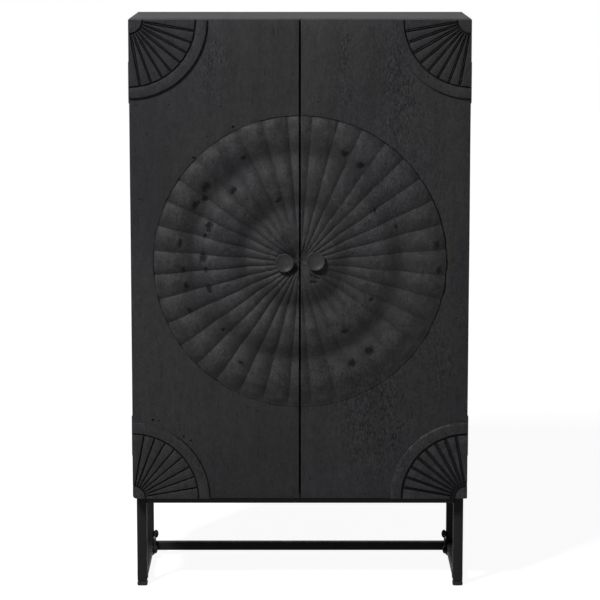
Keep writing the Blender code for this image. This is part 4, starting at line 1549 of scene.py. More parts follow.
        # The hollow value is painted shade: along the petal lines, and as painted shadow along the rim.
        line = np.radians((1 - np.abs(across)) * 180 / self.petals) * radius
        hollow = self.line_shade * np.exp(-line / self.line_width)
        hollow = hollow * eased(radius, self.flat_radius, self.line_start)
        hollow = np.maximum(hollow, self.rim_shade(direction, radius))
        return np.stack([x, height, z, hollow, smooth(height, *self.rubbed_heights), gouged])

    def surface(self, side: Side) -> Array:
        """Carve a half's face.

        Args:
            side: The door.

        Returns:
            The x, height, z, painted shade, wear and highlight, and gouge shadow, each over rings and
            columns.
        """
        core = np.arange(self.inmost_radius, self.core_radius, self.ring_step)
        outer = np.arange(self.core_radius, self.radius - self.plain_rim, self.ring_step)
        radii = np.concatenate([core, outer, self.radius - np.array(self.rim_rings)])
        return np.stack([self.carve(self.lay_out(side, float(radius))) for radius in radii], axis=1)

    def rim_shade(self, degrees: Array, radius: float) -> Array:
        """Return the painted shadow along the rim, which is darkest at the right and broken elsewhere.

        Args:
            degrees: Directions from the centre.
            radius: The ring's radius.

        Returns:
            The painted shadow, from 0 to 1.
        """
        turns, depths = zip(*RIM_SHADOW)
        strength = np.interp((degrees + 180) % 360 - 180, turns, depths)
        breaks = np.sin(np.radians(degrees) * self.rim_breaks)
        strength = strength * (1 - self.rim_break_depth + self.rim_break_depth * breaks)
        return strength * self.near_rim(radius, (self.rim_shade_width, self.rim_shade_inset))

    def half(self, side: Side) -> Solid:
        """Carve one door's half of the disc.

        Args:
            side: The door.

        Returns:
            A closed solid that carries its painted shade, its painted highlights with some wear, and its
            gouges' painted shadow.
        """
        shape = bmesh.new()
        layers = [shape.verts.layers.float.new(name) for name in ("hollow", "rubbed", "gouged")]
        grid: list[list[Vertex]] = []
        for ring in np.moveaxis(self.surface(side), 0, -1):
            row = []
            for x, height, z, *looks in ring:
                vertex = shape.verts.new((side.value * x, self.centre.y - height, self.centre.z + z))
                for layer, look in zip(layers, looks):
                    vertex[layer] = look
                row.append(vertex)
            grid.append(row)
        sheet(shape, grid)
        shape.faces.new(grid[0])
        loop = [row[0] for row in grid] + grid[-1][1:] + [row[-1] for row in reversed(grid[:-1])]
        foot = [shape.verts.new((vertex.co.x, self.seat_y, vertex.co.z)) for vertex in loop]
        # Painted shade at the side wall's foot.
        for vertex in foot:
            vertex[layers[0]] = self.foot_shade
        wall(shape, loop, foot)
        shape.faces.new(foot)
        return shape

    def build(self) -> None:
        """Build both halves of the medallion."""
        for side in Side:
            label = side.label
            item = to_object(f"sunburst_{label}", self.half(side))
            knob = middle_of(f"knob_{label}")
            hole = rod(self.knob_hole, -self.hole_reach, self.hole_reach)
            settle(item, [turned(hole, (knob.x, self.centre.y, knob.z), FORWARD, self.hole_segments)])
            mount(item, self.finishes.carved_wood, Slot.CARVED_WOOD, f"door_{label}", f"medallion_{label}")


class FanRow(StrEnum):
    """What a row of a fan's carving belongs to, outwards from the corner."""

    HUB = "hub"
    RING = "ring"
    BLADE = "blade"
    BAND = "band"


class FanColumn(StrEnum):
    """What a column of a fan's carving belongs to: a blade's top, or a groove's floor or core."""

    TOP = "top"
    FLOOR = "floor"
    CORE = "core"


@dataclass(frozen=True)
class FanCut:
    """How one fan was cut: its grooves' widths at the hub and the band, its rings, its foot, its wear, and
    its painted shade and highlights.
    """

    at_hub: float
    at_band: float
    hub_ring: float
    band_ring: float
    core_rise: float
    core_shade: float
    # Painted shade over the fan's tops; foot_shade and shaded_to give the painted shadow along its outer
    # foot.
    shade: float = 0.0
    hub_radius: float = 0.0335
    foot_flare: float = 0.0010
    foot_shade: float = 0.60
    shaded_to: float = 120.0
    # Where a painted highlight runs along the band's outer edge, in degrees.
    pale_edge: Span = (200.0, 200.0)
    # The painted highlight, partly wear, on the fan's tops.
    rubbed: float = 0.2


Row = tuple[float, FanRow, float]
Column = tuple[float, FanColumn, float]

FAN_CUTS = {
    (Level.UPPER, Side.LEFT): FanCut(0.0080, 0.0060, 0.0046, 0.0042, 0.0020, 0.50, shade=0.17),
    (Level.UPPER, Side.RIGHT): FanCut(0.0072, 0.0074, 0.0042, 0.0040, 0.0034, 0.10, shade=0.14),
    (Level.LOWER, Side.LEFT): FanCut(
        0.0038, 0.0042, 0.0034, 0.0036, 0.0, 1.0, hub_radius=0.0310, foot_flare=0.0018,
        foot_shade=0.85, shaded_to=44.0, pale_edge=(74.0, 100.0), rubbed=0.5),
    (Level.LOWER, Side.RIGHT): FanCut(
        0.0074, 0.0084, 0.0150, 0.0058, 0.0006, 0.72, hub_radius=0.0290, foot_flare=0.0026,
        foot_shade=0.0, shaded_to=0.0, pale_edge=(22.0, 80.0), rubbed=1.0),
}

SOFT_LIP = ((1.0, 0.0), (0.45, 0.16), (0.12, 0.5), (0.0, 1.0))
SHARP_LIP = ((1.0, 0.0), (0.3, 0.3), (0.0, 1.0))


@dataclass
class CornerFan:
    """A carved quarter fan: a hub, nine blades and a band, with sloping grooves between them."""

    side: Side
    level: Level
    finishes: Finishes
    blades: int = 9
    band_width: float = 0.0256
    groove_depth: float = 0.0050
    wall_slope: float = 0.0007
    most_width: float = 0.80
    most_edge: float = 0.4
    # How the painted shadow and painted highlight along the band's outer edge fade, in degrees, and how
    # bright that highlight is.
    shade_fade: float = 26.0
    pale_fade: float = 8.0
    pale_rub: float = 2.4
    # Painted shade on the blades' tops.
    blade_shade: float = 0.10
    edge_rounding: float = 0.0009
    end_drop: float = 0.0004
    corner_rows: tuple[float, ...] = (0.33, 0.66, 1.0)
    hub_row: float = 0.6
    blade_rows: tuple[float, ...] = (0.2, 0.4, 0.6, 0.8)
    line_wander: float = 0.45
    width_wander: float = 0.10

    def __post_init__(self) -> None:
        """Read the fan's place from the frame and draw its hand-made variation."""
        label = self.side.label
        self.cut = FAN_CUTS[self.level, self.side]
        low, self.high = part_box(f"corner_fan_{self.level}_{label}")
        self.radius = self.high.x - low.x
        self.thickness = self.high.y - low.y
        self.corner_x = self.high.x if self.side is Side.RIGHT else low.x
        self.corner_z = self.high.z if self.level is Level.UPPER else low.z
        self.rise = -1 if self.level is Level.UPPER else 1
        draw = random.Random(f"{self.level} {label}")
        self.lines = [90 / self.blades * k + draw.uniform(-1, 1) * self.line_wander
                      for k in range(1, self.blades)]
        self.widths = [1 + draw.uniform(-1, 1) * self.width_wander for _ in self.lines]

    def lip(self, at: float, facing: int, kind: FanRow) -> list[Row]:
        """Return the rows of a worn lip that ends at a radius and faces outwards (1) or inwards (-1)."""
        edge = self.edge_rounding
        return [(at - facing * edge * away, kind, edge * drop) for away, drop in SOFT_LIP[::facing]]

    def rows(self) -> list[Row]:
        """Lay out the fan's rows.

        Returns:
            The rows from the corner outwards, as (radius, kind, drop under the top).
        """
        slope, hub = self.wall_slope, self.cut.hub_radius
        band = self.radius - self.band_width
        start, end = hub + self.cut.hub_ring, band - self.cut.band_ring
        worn = WORN_CORNERS[self.side]
        rows = [(worn * share, FanRow.HUB, 0.0) for share in self.corner_rows]
        rows += [(hub * self.hub_row, FanRow.HUB, 0.0)]
        rows += self.lip(hub, 1, FanRow.HUB)
        rows += [(hub + slope, FanRow.RING, 0.0), (start - slope, FanRow.RING, 0.0)]
        rows += self.lip(start, -1, FanRow.BLADE)
        rows += [(start + (end - start) * share, FanRow.BLADE, 0.0) for share in self.blade_rows]
        rows += self.lip(end, 1, FanRow.BLADE)
        rows += [(end + slope, FanRow.RING, 0.0), (band - slope, FanRow.RING, 0.0)]
        rows += self.lip(band, -1, FanRow.BAND)
        rows += [(band + self.band_width / 2, FanRow.BAND, 0.0)]
        rows += self.lip(self.radius, 1, FanRow.BAND)
        return rows

    def columns(self, radius: float) -> list[Column]:
        """Lay out the columns at a radius.

        Args:
            radius: The row's radius.

        Returns:
            The columns, as (degrees, kind, share of the blade's edge drop).
        """
        inner, outer = self.cut.hub_radius, self.radius - self.band_width
        share = min(1.0, max(0.0, (radius - inner) / (outer - inner)))
        arc_radius = max(radius, inner)
        pitch = arc_radius * math.radians(90 / self.blades - 2 * self.line_wander)
        width = self.cut.at_hub + (self.cut.at_band - self.cut.at_hub) * share
        width = min(width, self.most_width * pitch)
        edge = min(self.edge_rounding, self.most_edge * (pitch - width * (1 + self.width_wander)))
        edge, slope = math.degrees(edge / arc_radius), math.degrees(self.wall_slope / arc_radius)
        columns = [(0.0, FanColumn.TOP, 0.0)]
        for line, gain in zip(self.lines, self.widths):
            half = math.degrees(width * gain / 2 / arc_radius)
            start, end = line - half, line + half
            columns.append(((columns[-1][0] + line - half) / 2, FanColumn.TOP, 0.0))
            columns += [(start - edge * away, FanColumn.TOP, drop) for away, drop in SHARP_LIP]
            columns += [(start + slope, FanColumn.FLOOR, 0.0), (line, FanColumn.CORE, 0.0),
                        (end - slope, FanColumn.FLOOR, 0.0)]
            columns += [(end + edge * away, FanColumn.TOP, drop) for away, drop in reversed(SHARP_LIP)]
        columns += [((columns[-1][0] + 90) / 2, FanColumn.TOP, 0.0), (90.0, FanColumn.TOP, 0.0)]
        return columns

    def carve(self, row: Row, column: Column) -> tuple[float, float]:
        """Carve one point of the fan.

        Args:
            row: The point's row.
            column: The point's column.

        Returns:
            Its height over the fan's back and how much shade is painted on it.
        """
        (_, part, drop), (degrees, groove, share) = row, column
        top = self.thickness - drop
        floor = self.thickness - self.groove_depth
        # Rings and groove floors get full painted shade, groove cores and blade tops less.
        if part is FanRow.RING or (part is FanRow.BLADE and groove is FanColumn.FLOOR):
            return floor, 1.0
        if part is FanRow.BLADE and groove is FanColumn.CORE:
            return floor + self.cut.core_rise, self.cut.core_shade
        if part is FanRow.BLADE:
            return top - share * self.edge_rounding, self.cut.shade + self.blade_shade
        if self.level is Level.UPPER and degrees in (0.0, 90.0):
            return top - self.end_drop, self.cut.shade
        return top, self.cut.shade

    def rim_look(self, vertex: Vertex) -> tuple[float, float]:
        """Find the painted shadow and the painted highlight, with some wear, on the band's outer edge.

        Args:
            vertex: A vertex of the edge.

        Returns:
            The painted shade, and the wear and painted highlight.
        """
        degrees = math.degrees(math.atan2(abs(vertex.co.z - self.corner_z), abs(vertex.co.x - self.corner_x)))
        past = min(1.0, max(0.0, (degrees - self.cut.shaded_to) / self.shade_fade))
        start, end = self.cut.pale_edge
        inside = min(1.0, max(0.0, min(degrees - start, end - degrees) / self.pale_fade))
        return self.cut.foot_shade * (1 - past), self.cut.rubbed + (self.pale_rub - self.cut.rubbed) * inside

    def solid(self) -> Solid:
        """Carve the fan.

        Returns:
            A closed solid that carries its painted shade and its painted highlights with some wear.
        """
        shape = bmesh.new()
        shade_layer = shape.verts.layers.float.new("hollow")
        wear_and_highlight_layer = shape.verts.layers.float.new("rubbed")

        def point(radius: float, degrees: float, height: float, hollow: float) -> Vertex:
            """Place a vertex of the fan.

            Args:
                radius: Its distance from the corner.
                degrees: Its direction from the corner.
                height: Its height over the fan's back.
                hollow: How much shade is painted on it.

            Returns:
                The vertex.
            """
            angle = math.radians(degrees)
            x = self.corner_x - self.side.value * radius * math.cos(angle)
            z = self.corner_z + self.rise * radius * math.sin(angle)
            vertex = shape.verts.new((x, self.high.y - height, z))
            vertex[shade_layer] = hollow
            vertex[wear_and_highlight_layer] = self.cut.rubbed * (1 - hollow)
            return vertex

        grid = [[point(row[0], column[0], *self.carve(row, column)) for column in self.columns(row[0])]
                for row in self.rows()]
        # The band's outer edge: painted shadow on the side away from the light, painted highlight on the lit
        # side.
        for vertex in grid[-1]:
            shade, rubbed = self.rim_look(vertex)
            vertex[shade_layer] = max(shade, vertex[shade_layer])
            vertex[wear_and_highlight_layer] = rubbed
        centre = point(0.0, 0.0, self.thickness, 0.0)
        for first, second in zip(grid[0], grid[0][1:]):
            shape.faces.new((centre, first, second))
        sheet(shape, grid)
        loop = [centre] + [row[0] for row in grid] + grid[-1][1:] + [row[-1] for row in reversed(grid[:-1])]
        flared = 1 + self.cut.foot_flare / self.radius
        foot = []
        for place, vertex in enumerate(loop):
            grow = flared if len(grid) < place < len(grid) + len(grid[-1]) - 1 else 1.0
            foot.append(shape.verts.new((self.corner_x + (vertex.co.x - self.corner_x) * grow, self.high.y,
                                         self.corner_z + (vertex.co.z - self.corner_z) * grow)))
        wall(shape, loop, foot)
        shape.faces.new(foot)
        # The foot gets the same painted shadow and highlight.
        for vertex in foot:
            vertex[shade_layer], vertex[wear_and_highlight_layer] = self.rim_look(vertex)
        return shape

    def wear(self, shape: Solid) -> None:
        """Round a lower fan's outer corner as the door's worn corner is rounded.

        Args:
            shape: The fan.
        """
        radius = WORN_CORNERS[self.side]
        for vertex in shape.verts:
            inward = Vector((abs(vertex.co.x - self.corner_x), abs(vertex.co.z - self.corner_z)))
            if max(inward) < radius:
                away = Vector((radius, radius)) - inward
                away *= max(away) / away.length
                vertex.co.x = self.corner_x - self.side.value * (radius - away.x)
                vertex.co.z = self.corner_z + radius - away.y

    def build(self) -> None:
        """Build the fan on its door."""
        label = self.side.label
        place = f"{self.level}_{label}"
        shape = self.solid()
        if self.level is Level.LOWER:
            self.wear(shape)
        item = to_object(f"carved_fan_{place}", shape)
        mount(item, self.finishes.carved_wood, Slot.CARVED_WOOD, f"door_{label}", f"corner_fan_{place}")


@dataclass
class Knob:
    """A turned knob: a short neck that flares to a rim round a shallow dish."""

    side: Side
    neck_radius: float = 0.010
    neck_length: float = 0.0138
    rim_thickness: float = 0.0050
    rim_land: float = 0.0012
    rim_inset: float = 0.0004
    rim_foot: float = 0.0006
    rim_rounding: float = 0.0010
    rim_steps: int = 5
    dish_depth: float = 0.0052
    dish_power: float = 2.4
    bore_radius: float = 0.0023
    bore_depth: float = 0.0123
    segments: int = 72
    steps: int = 14

    def build(self) -> None:
        """Turn the knob on its axis and mount it on its door."""
        label = self.side.label
        low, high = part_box(f"knob_{label}")
        rim, length = (high.x - low.x) / 2, high.y - low.y
        flare_end = length - self.rim_thickness
        flare = rim - self.rim_inset - self.neck_radius
        profile = [(0, self.bore_depth), (self.bore_radius, self.bore_depth), (self.bore_radius, 0),
                   (self.neck_radius, 0)]
        for k in range(self.steps + 1):
            turn = math.pi / 2 * k / self.steps
            profile.append((self.neck_radius + flare * (1 - math.cos(turn)),
                            self.neck_length + (flare_end - self.neck_length) * math.sin(turn)))
        curve = self.rim_rounding
        profile.append((rim, flare_end + self.rim_foot))
        profile += arc((rim - curve, length - curve), curve, 0, 90, self.rim_steps)
        dish = rim - curve - self.rim_land
        for k in range(self.steps + 1):
            radius = dish * (1 - k / self.steps)
            profile.append((radius, length - self.dish_depth * (1 - (radius / dish) ** self.dish_power)))
        base = ((low.x + high.x) / 2, high.y, (low.z + high.z) / 2)
        finish = KnobLacquer(f"knob_lacquer_{label}", base).make()
        item = to_object(f"turned_knob_{label}", turned(profile, base, FORWARD, self.segments))
        mount(item, finish, Slot.KNOB, f"door_{label}", f"knob_{label}")


class Leaf(StrEnum):
    """A hinge's two leaves, as the nodes name them."""

    DOOR = "door"
    FRAME = "frame"


SUNK_HEAD = ((0.0, -2.0), (0.6, -2.0), (1.0, -0.2), (1.0, 0.3), (0.8, 0.8), (0.0, 1.0))


@dataclass
class LeafScrews:
    """The countersunk screws that hold one hinge leaf, each with a cross recess."""

    side: Side
    finishes: Finishes
    leaf_offset: float = 0.001
    edge_distance: float = 0.0065
    head_radius: float = 0.0030
    head_height: float = 0.0004
    head_segments: int = 24
    recess_half_width: float = 0.0005
    recess_reach: float = 0.0017
    recess_under: float = 0.0003
    recess_over: float = 0.0012
    places: tuple[float, ...] = (0.16, 0.5, 0.84)

    def build(self, leaf: Leaf, level: Level) -> None:
        """Build the three screws of a leaf.

        Args:
            leaf: Which of the hinge's leaves.
            level: Which of the door's hinges.
        """
        label = self.side.label
        place = f"{leaf}_{level}_{label}"
        leaf_low, leaf_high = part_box(f"hinge_{leaf}_leaf_{level}_{label}")
        facing, body, reaches = 1, f"door_{label}", (self.recess_under, self.recess_over)
        if leaf is Leaf.FRAME:
            facing, body, reaches = -1, "cabinet", (self.recess_over, self.recess_under)
        face_y = hinge_axis(self.side)[1] - facing * self.leaf_offset
        edge = leaf_low.x if self.side is Side.RIGHT else leaf_high.x
        x = edge + self.side.value * self.edge_distance
        profile = [(out * self.head_radius, up * self.head_height) for out, up in SUNK_HEAD]
        reach, half = self.recess_reach, self.recess_half_width
        heads, cuts = [], []
        for share in self.places:
            z = leaf_low.z + (leaf_high.z - leaf_low.z) * share
            heads.append(turned(profile, (x, face_y, z), (0, facing, 0), self.head_segments))
            for wide, tall in ((reach, half), (half, reach)):
                cuts.append(block((x - wide, face_y - reaches[0], z - tall),
                                  (x + wide, face_y + reaches[1], z + tall)))
        item = settle(to_object(f"leaf_screws_{place}", joined(heads)), cuts)
        mount(item, self.finishes.hinge_steel, Slot.HINGE, body)


@dataclass
class Doors:
    """Both doors, with their carving, knobs and hinges."""

    finishes: Finishes

    def build(self) -> None:
        """Build the doors' pieces in order."""
        finishes = self.finishes
        sunburst = Sunburst(finishes)
        sunburst.build()
        for side in Side:
            label = side.label
            Plank(side, finishes).build(sunburst.radius, sunburst.centre)
            for level in Level:
                CornerFan(side, level, finishes).build()
                for leaf in Leaf:
                    LeafScrews(side, finishes).build(leaf, level)
                    dress(finishes.hinge_steel, f"hinge_{leaf}_leaf_{level}_{label}")
                dress(finishes.hinge_steel, f"hinge_pin_{level}_{label}")
            Knob(side).build()
            dress(finishes.plated_steel, f"knob_screw_{label}", f"strike_plate_{label}")


# Case


@dataclass
class Case:
    """The boards of the case and the catch under its top."""

    finishes: Finishes

    def build(self) -> None:
        """Dress the boards and the catch."""
        dress(self.finishes.upright_wood, "side_panel_left", "side_panel_right")
        dress(self.finishes.level_wood, "top_panel", "bottom_panel")
        dress(self.finishes.back_board, "back_panel")
        dress(self.finishes.inside_board, "shelf_lower", "shelf_middle", "shelf_upper")
        dress(self.finishes.plastic, "magnetic_catch")


# Steel frame


class End(StrEnum):
    """The frame's front and rear, as the nodes name them."""

    FRONT = "front"
    REAR = "rear"


class RailHeight(StrEnum):
    """The heights of the side rails, as the nodes name them."""

    FLOOR = "floor"
    TOP = "top"


class BoltPlace(StrEnum):
    """What a gusset's bolt goes into, as the nodes name it."""

    LEG = "leg"
    RAIL = "rail"


PAN_HEAD = ((1.0, 0.0), (1.0, 0.45), (0.75, 0.9), (0.4, 1.0), (0.3, 0.4), (0.0, 0.3))


@dataclass
class SteelFrame:
    """The welded frame of square tube, with its beads, screws, gussets and stretcher."""

    finishes: Finishes
    tube_rounding: float = 0.0030
    stretcher_rounding: float = 0.0024
    tube_steps: int = 4
    bead_radius: float = 0.0017
    bead_step: float = 0.0009
    bead_corner_steps: int = 3
    bead_segments: int = 6
    bead_shift: float = 0.15
    bead_stretch: float = 0.75
    ripple: float = 0.22
    ripple_length: float = 9.0
    ripple_pace: float = 2.1
    screw_head_radius: float = 0.0052
    screw_head_height: float = 0.0028
    screw_length: float = 0.010
    screw_shank: float = 0.002
    screw_gap: float = 0.0002
    screw_segments: int = 28
    tab_thickness: float = 0.003
    tab_reach: float = 0.012
    tab_place: float = 0.26
    bolt_head_height: float = 0.0065
    bolt_head_land: float = 0.0012
    bolt_shank: float = 0.003
    bolt_segments: int = 40
    dome_steps: int = 10
    socket_radius: float = 0.0030
    socket_depth: float = 0.0030
    socket_flare: float = 1.15
    socket_break: float = 0.0004

    def tube(self, node: str, axis: Axis, corner_radius: float) -> None:
        """Replace a CAD tube by one with rolled corners and mount it.

        Args:
            node: The tube's node.
            axis: The tube's direction.
            corner_radius: Its corners' radius.
        """
        low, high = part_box(node)
        u, v = (other.value for other in Axis if other is not axis)
        outline = rounded_box_outline((low[u], low[v]), (high[u], high[v]), corner_radius, self.tube_steps)
        item = to_object(f"tube_{node}", prism(outline, axis, low[axis.value], high[axis.value]))
        mount(item, self.finishes.frame_coat, Slot.FRAME, "cabinet", node)

    def bead(self, low: Vector, high: Vector) -> Solid:
        """Lay a rippled weld bead round a tube's end.

        Args:
            low: The lowest corner of the end's face, which has no thickness on one axis.
            high: Its highest corner.

        Returns:
            The bead as a closed ring.
        """
        flat = min(range(len(Axis)), key=lambda k: high[k] - low[k])
        u, v = (k for k in range(len(Axis)) if k != flat)
        outline = rounded_box_outline((low[u], low[v]), (high[u], high[v]),
                                      self.tube_rounding, self.bead_corner_steps)
        path = []
        for (ax, ay), (bx, by) in zip(outline, outline[1:] + outline[:1]):
            steps = max(1, round(math.hypot(bx - ax, by - ay) / self.bead_step))
            path += [(ax + (bx - ax) * k / steps, ay + (by - ay) * k / steps) for k in range(steps)]
        shape = bmesh.new()
        middle = ((low[u] + high[u]) / 2, (low[v] + high[v]) / 2)
        rings = []
        for place, (x, y) in enumerate(path):
            swell = 1 + self.ripple * abs(math.sin(place * math.pi / self.ripple_length * self.ripple_pace))
            out = Vector((x - middle[0], y - middle[1])).normalized()
            ring = []
            for k in range(self.bead_segments):
                angle = math.tau * k / self.bead_segments
                away = self.bead_radius * (self.bead_shift + self.bead_stretch * swell * math.cos(angle))
                point = [0.0, 0.0, 0.0]
                point[flat] = low[flat] + self.bead_radius * swell * math.sin(angle)
                point[u] = x + out.x * away
                point[v] = y + out.y * away
                ring.append(shape.verts.new(point))
            rings.append(ring)
        for first, second in zip(rings, rings[1:] + rings[:1]):
            for k in range(self.bead_segments):
                after = (k + 1) % self.bead_segments
                shape.faces.new((first[k], second[k], second[after], first[after]))
        return shape

    def beads(self) -> None:
        """Lay a bead wherever a rail meets a leg."""
        shapes = []
        for side in Side:
            for height in RailHeight:
                low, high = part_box(f"{height}_rail_{side.label}")
                for y in (low.y, high.y):
                    shapes.append(self.bead(Vector((low.x, y, low.z)), Vector((high.x, y, high.z))))
        for end in End:
            low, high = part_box(f"{end}_rail")
            leg_low, leg_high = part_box(f"leg_{end}_right")
            for x in (low.x, high.x):
                shapes.append(self.bead(Vector((x, leg_low.y, leg_high.z - (leg_high.y - leg_low.y))),
                                        Vector((x, leg_high.y, leg_high.z))))
        mount(to_object("weld_beads", joined(shapes)), self.finishes.frame_coat, Slot.FRAME, "cabinet")

    def bolt(self, place: BoltPlace, side: Side) -> None:
        """Replace a gusset bolt by a dome head with a round-cornered socket.

        Args:
            place: What the bolt goes into.
            side: The gusset's side.
        """
        name = f"bolt_{place}_{side.label}"
        node = f"gusset_{name}"
        low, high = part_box(node)
        start, end = (low.x, high.x) if side is Side.LEFT else (high.x, low.x)
        length = abs(end - start)
        head, shank, socket = (high.z - low.z) / 2, self.bolt_shank, self.socket_radius
        seat = length - self.bolt_head_height
        land = seat + self.bolt_head_land
        dome = self.bolt_head_height - self.bolt_head_land
        profile = [(0, 0), (shank, 0), (shank, seat), (head, seat), (head, land)]
        for k in range(1, self.dome_steps):
            turn = math.pi / 2 * k / self.dome_steps
            profile.append((head * math.cos(turn), land + dome * math.sin(turn)))
        profile += [(socket * self.socket_flare, length), (socket, length - self.socket_break),
                    (socket, length - self.socket_depth), (0, length - self.socket_depth)]
        base = (start, (low.y + high.y) / 2, (low.z + high.z) / 2)
        item = to_object(f"dome_{name}", turned(profile, base, (-side.value, 0, 0), self.bolt_segments))
        mount(item, self.finishes.frame_coat, Slot.FRAME, "cabinet", node)

    def tab_screws(self) -> None:
        """Put a pan-head screw under each tab that holds the case."""
        shank, foot = self.screw_shank, -self.screw_length
        profile = [(0, foot), (shank, foot), (shank, 0)]
        profile += [(out * self.screw_head_radius, up * self.screw_head_height) for out, up in PAN_HEAD]
        shapes = []
        for end in End:
            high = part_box(f"{end}_rail")[1]
            leg_low, leg_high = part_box(f"leg_{end}_right")
            y = leg_high.y + self.tab_reach if end is End.FRONT else leg_low.y - self.tab_reach
            z = high.z - self.tab_thickness - self.screw_gap
            for side in Side:
                base = (side.value * self.tab_place, y, z)
                shapes.append(turned(profile, base, (0, 0, -1), self.screw_segments))
        item = to_object("tab_screws", joined(shapes))
        mount(item, self.finishes.plated_steel, Slot.PLATED_STEEL, "cabinet")

    def build(self) -> None:
        """Build the frame's pieces."""
        for side in Side:
            label = side.label
            for end in End:
                self.tube(f"leg_{end}_{label}", Axis.Z, self.tube_rounding)
                Foot(end, side, self.finishes).build()
            for height in RailHeight:
                self.tube(f"{height}_rail_{label}", Axis.Y, self.tube_rounding)
            for place in BoltPlace:
                self.bolt(place, side)
            dress(self.finishes.frame_coat, f"gusset_{label}")
        # The front rail gets the paler coat: painted light where the doors shade it.
        dress(self.finishes.rail_coat, "front_rail")
        dress(self.finishes.frame_coat, "rear_rail")
        self.tube("rear_stretcher", Axis.X, self.stretcher_rounding)
        self.beads()
        self.tab_screws()


@dataclass
class Foot:
    """A moulded glide under a leg: a rounded cap whose skirt grips the tube.

    Each level is a share of its height and how far its outline lies inside the CAD box.
    """

    end: End
    side: Side
    finishes: Finishes
    corner_radius: float = 0.0035
    corner_steps: int = 5
    levels: tuple[tuple[float, float], ...] = (
        (0.0, 0.0018), (0.05, 0.00081), (0.16, 0.0), (0.62, 0.0), (0.68, 0.0030), (1.0, 0.0030))

    def build(self) -> None:
        """Build the foot from its floor face up and mount it."""
        place = f"{self.end}_{self.side.label}"
        low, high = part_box(f"foot_{place}")
        height = high.z - low.z
        shape = bmesh.new()
        rings = []
        for share, inset in self.levels:
            outline = rounded_box_outline((low.x + inset, low.y + inset), (high.x - inset, high.y - inset),
                                          self.corner_radius, self.corner_steps)
            rings.append([shape.verts.new((x, y, low.z + height * share)) for x, y in outline])
        shape.faces.new(rings[0])
        shape.faces.new(rings[-1])
        for lower, upper in zip(rings, rings[1:]):
            wall(shape, lower, upper)
        item = to_object(f"glide_{place}", shape)
        mount(item, self.finishes.plastic, Slot.PLASTIC, "cabinet", f"foot_{place}")


# Studio


WHITE = (1.0, 1.0, 1.0, 1.0)


@dataclass(frozen=True)
class SoftBox:
    """A soft lamp: its place, its aim, its size and its power."""

    name: str
    place: Place
    aim: Place
    width: float
    height: float
    watts: float


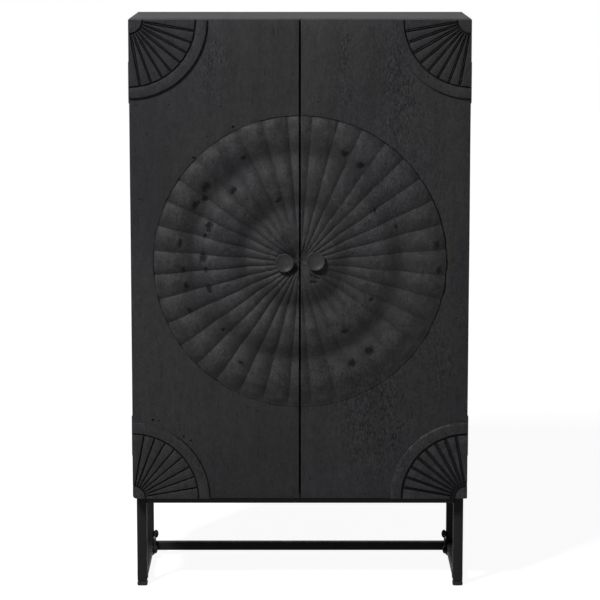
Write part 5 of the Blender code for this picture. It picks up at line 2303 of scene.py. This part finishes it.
@dataclass
class Studio:
    """A white floor and surround, soft lamps, and the camera at the photograph's angle."""

    camera_distance: float = 6.36
    camera_height: float = 1.754
    camera_pitch: float = 8.99
    camera_reach: float = 100.0
    lens: float = 153.8
    floor_radius: float = 14.0
    floor_low: float = -0.0006
    floor_high: float = -0.0004
    floor_segments: int = 96
    floor_roughness: float = 0.9
    floor_glow: float = 0.93
    floor_tone: float = 0.25
    shadow_radius: float = 1.6
    shadow_fade: float = 2.5
    ambient: float = 0.08
    front_glow: float = 0.12
    front_span: Span = (-0.25, 0.25)
    lamps: tuple[SoftBox, ...] = (
        SoftBox("key_softbox", (-1.68, -2.5, 3.5), (0.0, -0.19, 0.85), 0.7, 0.7, 231.0),
        SoftBox("fill_softbox", (0.8, -5.5, 2.2), (0.0, -0.19, 0.75), 3.0, 2.5, 18.0),
    )

    def build(self) -> None:
        """Build the studio."""
        self.build_floor()
        self.build_world()
        for lamp in self.lamps:
            self.hang(lamp)
        self.set_camera()
        bpy.context.scene.view_settings.view_transform = "Standard"
        log.info("studio: %d lamps", len(self.lamps))

    def build_floor(self) -> None:
        """Lay a pale floor that looks white and keeps the shadow near the cabinet."""
        disc = rod(self.floor_radius, self.floor_low, self.floor_high)
        floor = to_object("floor", turned(disc, (0, 0, 0), (0, 0, 1), self.floor_segments))
        graph = Graph("floor_sweep", self.floor_roughness, 0.0)
        tone = self.floor_tone
        graph.feed(graph.shader.inputs["Base Color"], (tone, tone, tone, 1.0))
        glow = graph.add("ShaderNodeEmission")
        graph.feed(glow.inputs["Color"], WHITE)
        path = graph.add("ShaderNodeLightPath").outputs
        seen = graph.calculate("MAXIMUM", path["Is Camera Ray"], path["Is Glossy Ray"])
        seen = graph.calculate("MAXIMUM", seen, path["Is Transmission Ray"])
        length = graph.add("ShaderNodeVectorMath", operation="LENGTH")
        graph.feed(length.inputs[0], graph.place)
        fade = (self.shadow_radius, self.shadow_fade * self.shadow_radius)
        power = graph.remap(graph.remap(length.outputs["Value"], fade, UNIT), UNIT, (self.floor_glow, 1.0))
        graph.feed(glow.inputs["Strength"], graph.times(seen, power))
        both = graph.add("ShaderNodeAddShader")
        graph.feed(both.inputs[0], graph.shader.outputs[0])
        graph.feed(both.inputs[1], glow.outputs[0])
        graph.feed(graph.tree.nodes["Material Output"].inputs["Surface"], both.outputs[0])
        floor.data.materials.append(graph.material)

    def build_world(self) -> None:
        """Light the surround: white where it is seen, dim in front of the doors, and a low ambient."""
        world = bpy.data.worlds.new("white_surround")
        bpy.context.scene.world = world
        world.use_nodes = True
        nodes = Nodes(world.node_tree)
        background = nodes.tree.nodes["Background"]
        nodes.feed(background.inputs["Color"], WHITE)
        path = nodes.add("ShaderNodeLightPath").outputs
        direction = nodes.add("ShaderNodeSeparateXYZ")
        nodes.feed(direction.inputs[0], nodes.add("ShaderNodeTexCoord").outputs["Generated"])
        behind = nodes.remap(direction.outputs["Y"], self.front_span, (self.front_glow, 1.0))
        mirrored = nodes.calculate("MAXIMUM", path["Is Glossy Ray"], path["Is Transmission Ray"])
        shown = nodes.times(mirrored, behind)
        shown = nodes.calculate("MAXIMUM", shown, path["Is Camera Ray"])
        nodes.feed(background.inputs["Strength"], nodes.calculate("MAXIMUM", shown, self.ambient))

    def hang(self, lamp: SoftBox) -> None:
        """Hang a soft lamp and aim it.

        Args:
            lamp: The lamp.
        """
        light = bpy.data.lights.new(lamp.name, "AREA")
        light.shape = "RECTANGLE"
        light.size = lamp.width
        light.size_y = lamp.height
        light.energy = lamp.watts
        item = bpy.data.objects.new(lamp.name, light)
        item.location = lamp.place
        item.rotation_mode = "QUATERNION"
        item.rotation_quaternion = (Vector(lamp.aim) - Vector(lamp.place)).to_track_quat("-Z", "Y")
        bpy.context.scene.collection.objects.link(item)

    def set_camera(self) -> None:
        """Set the camera in front of the doors, a little above the top."""
        camera = bpy.data.cameras.new("camera")
        camera.lens = self.lens
        camera.clip_end = self.camera_reach
        item = bpy.data.objects.new("camera", camera)
        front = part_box("door_panel_right")[0].y
        item.location = (0.0, front - self.camera_distance, self.camera_height)
        item.rotation_euler = (math.radians(90 - self.camera_pitch), 0.0, 0.0)
        bpy.context.scene.collection.objects.link(item)
        bpy.context.scene.camera = item


def main() -> None:
    """Build the studio and the cabinet's sub-assemblies in order."""
    logging.basicConfig(level=logging.INFO, format="%(message)s")
    Studio().build()
    finishes = Finishes()
    Doors(finishes).build()
    Case(finishes).build()
    SteelFrame(finishes).build()


if __name__ == "__main__":
    main()
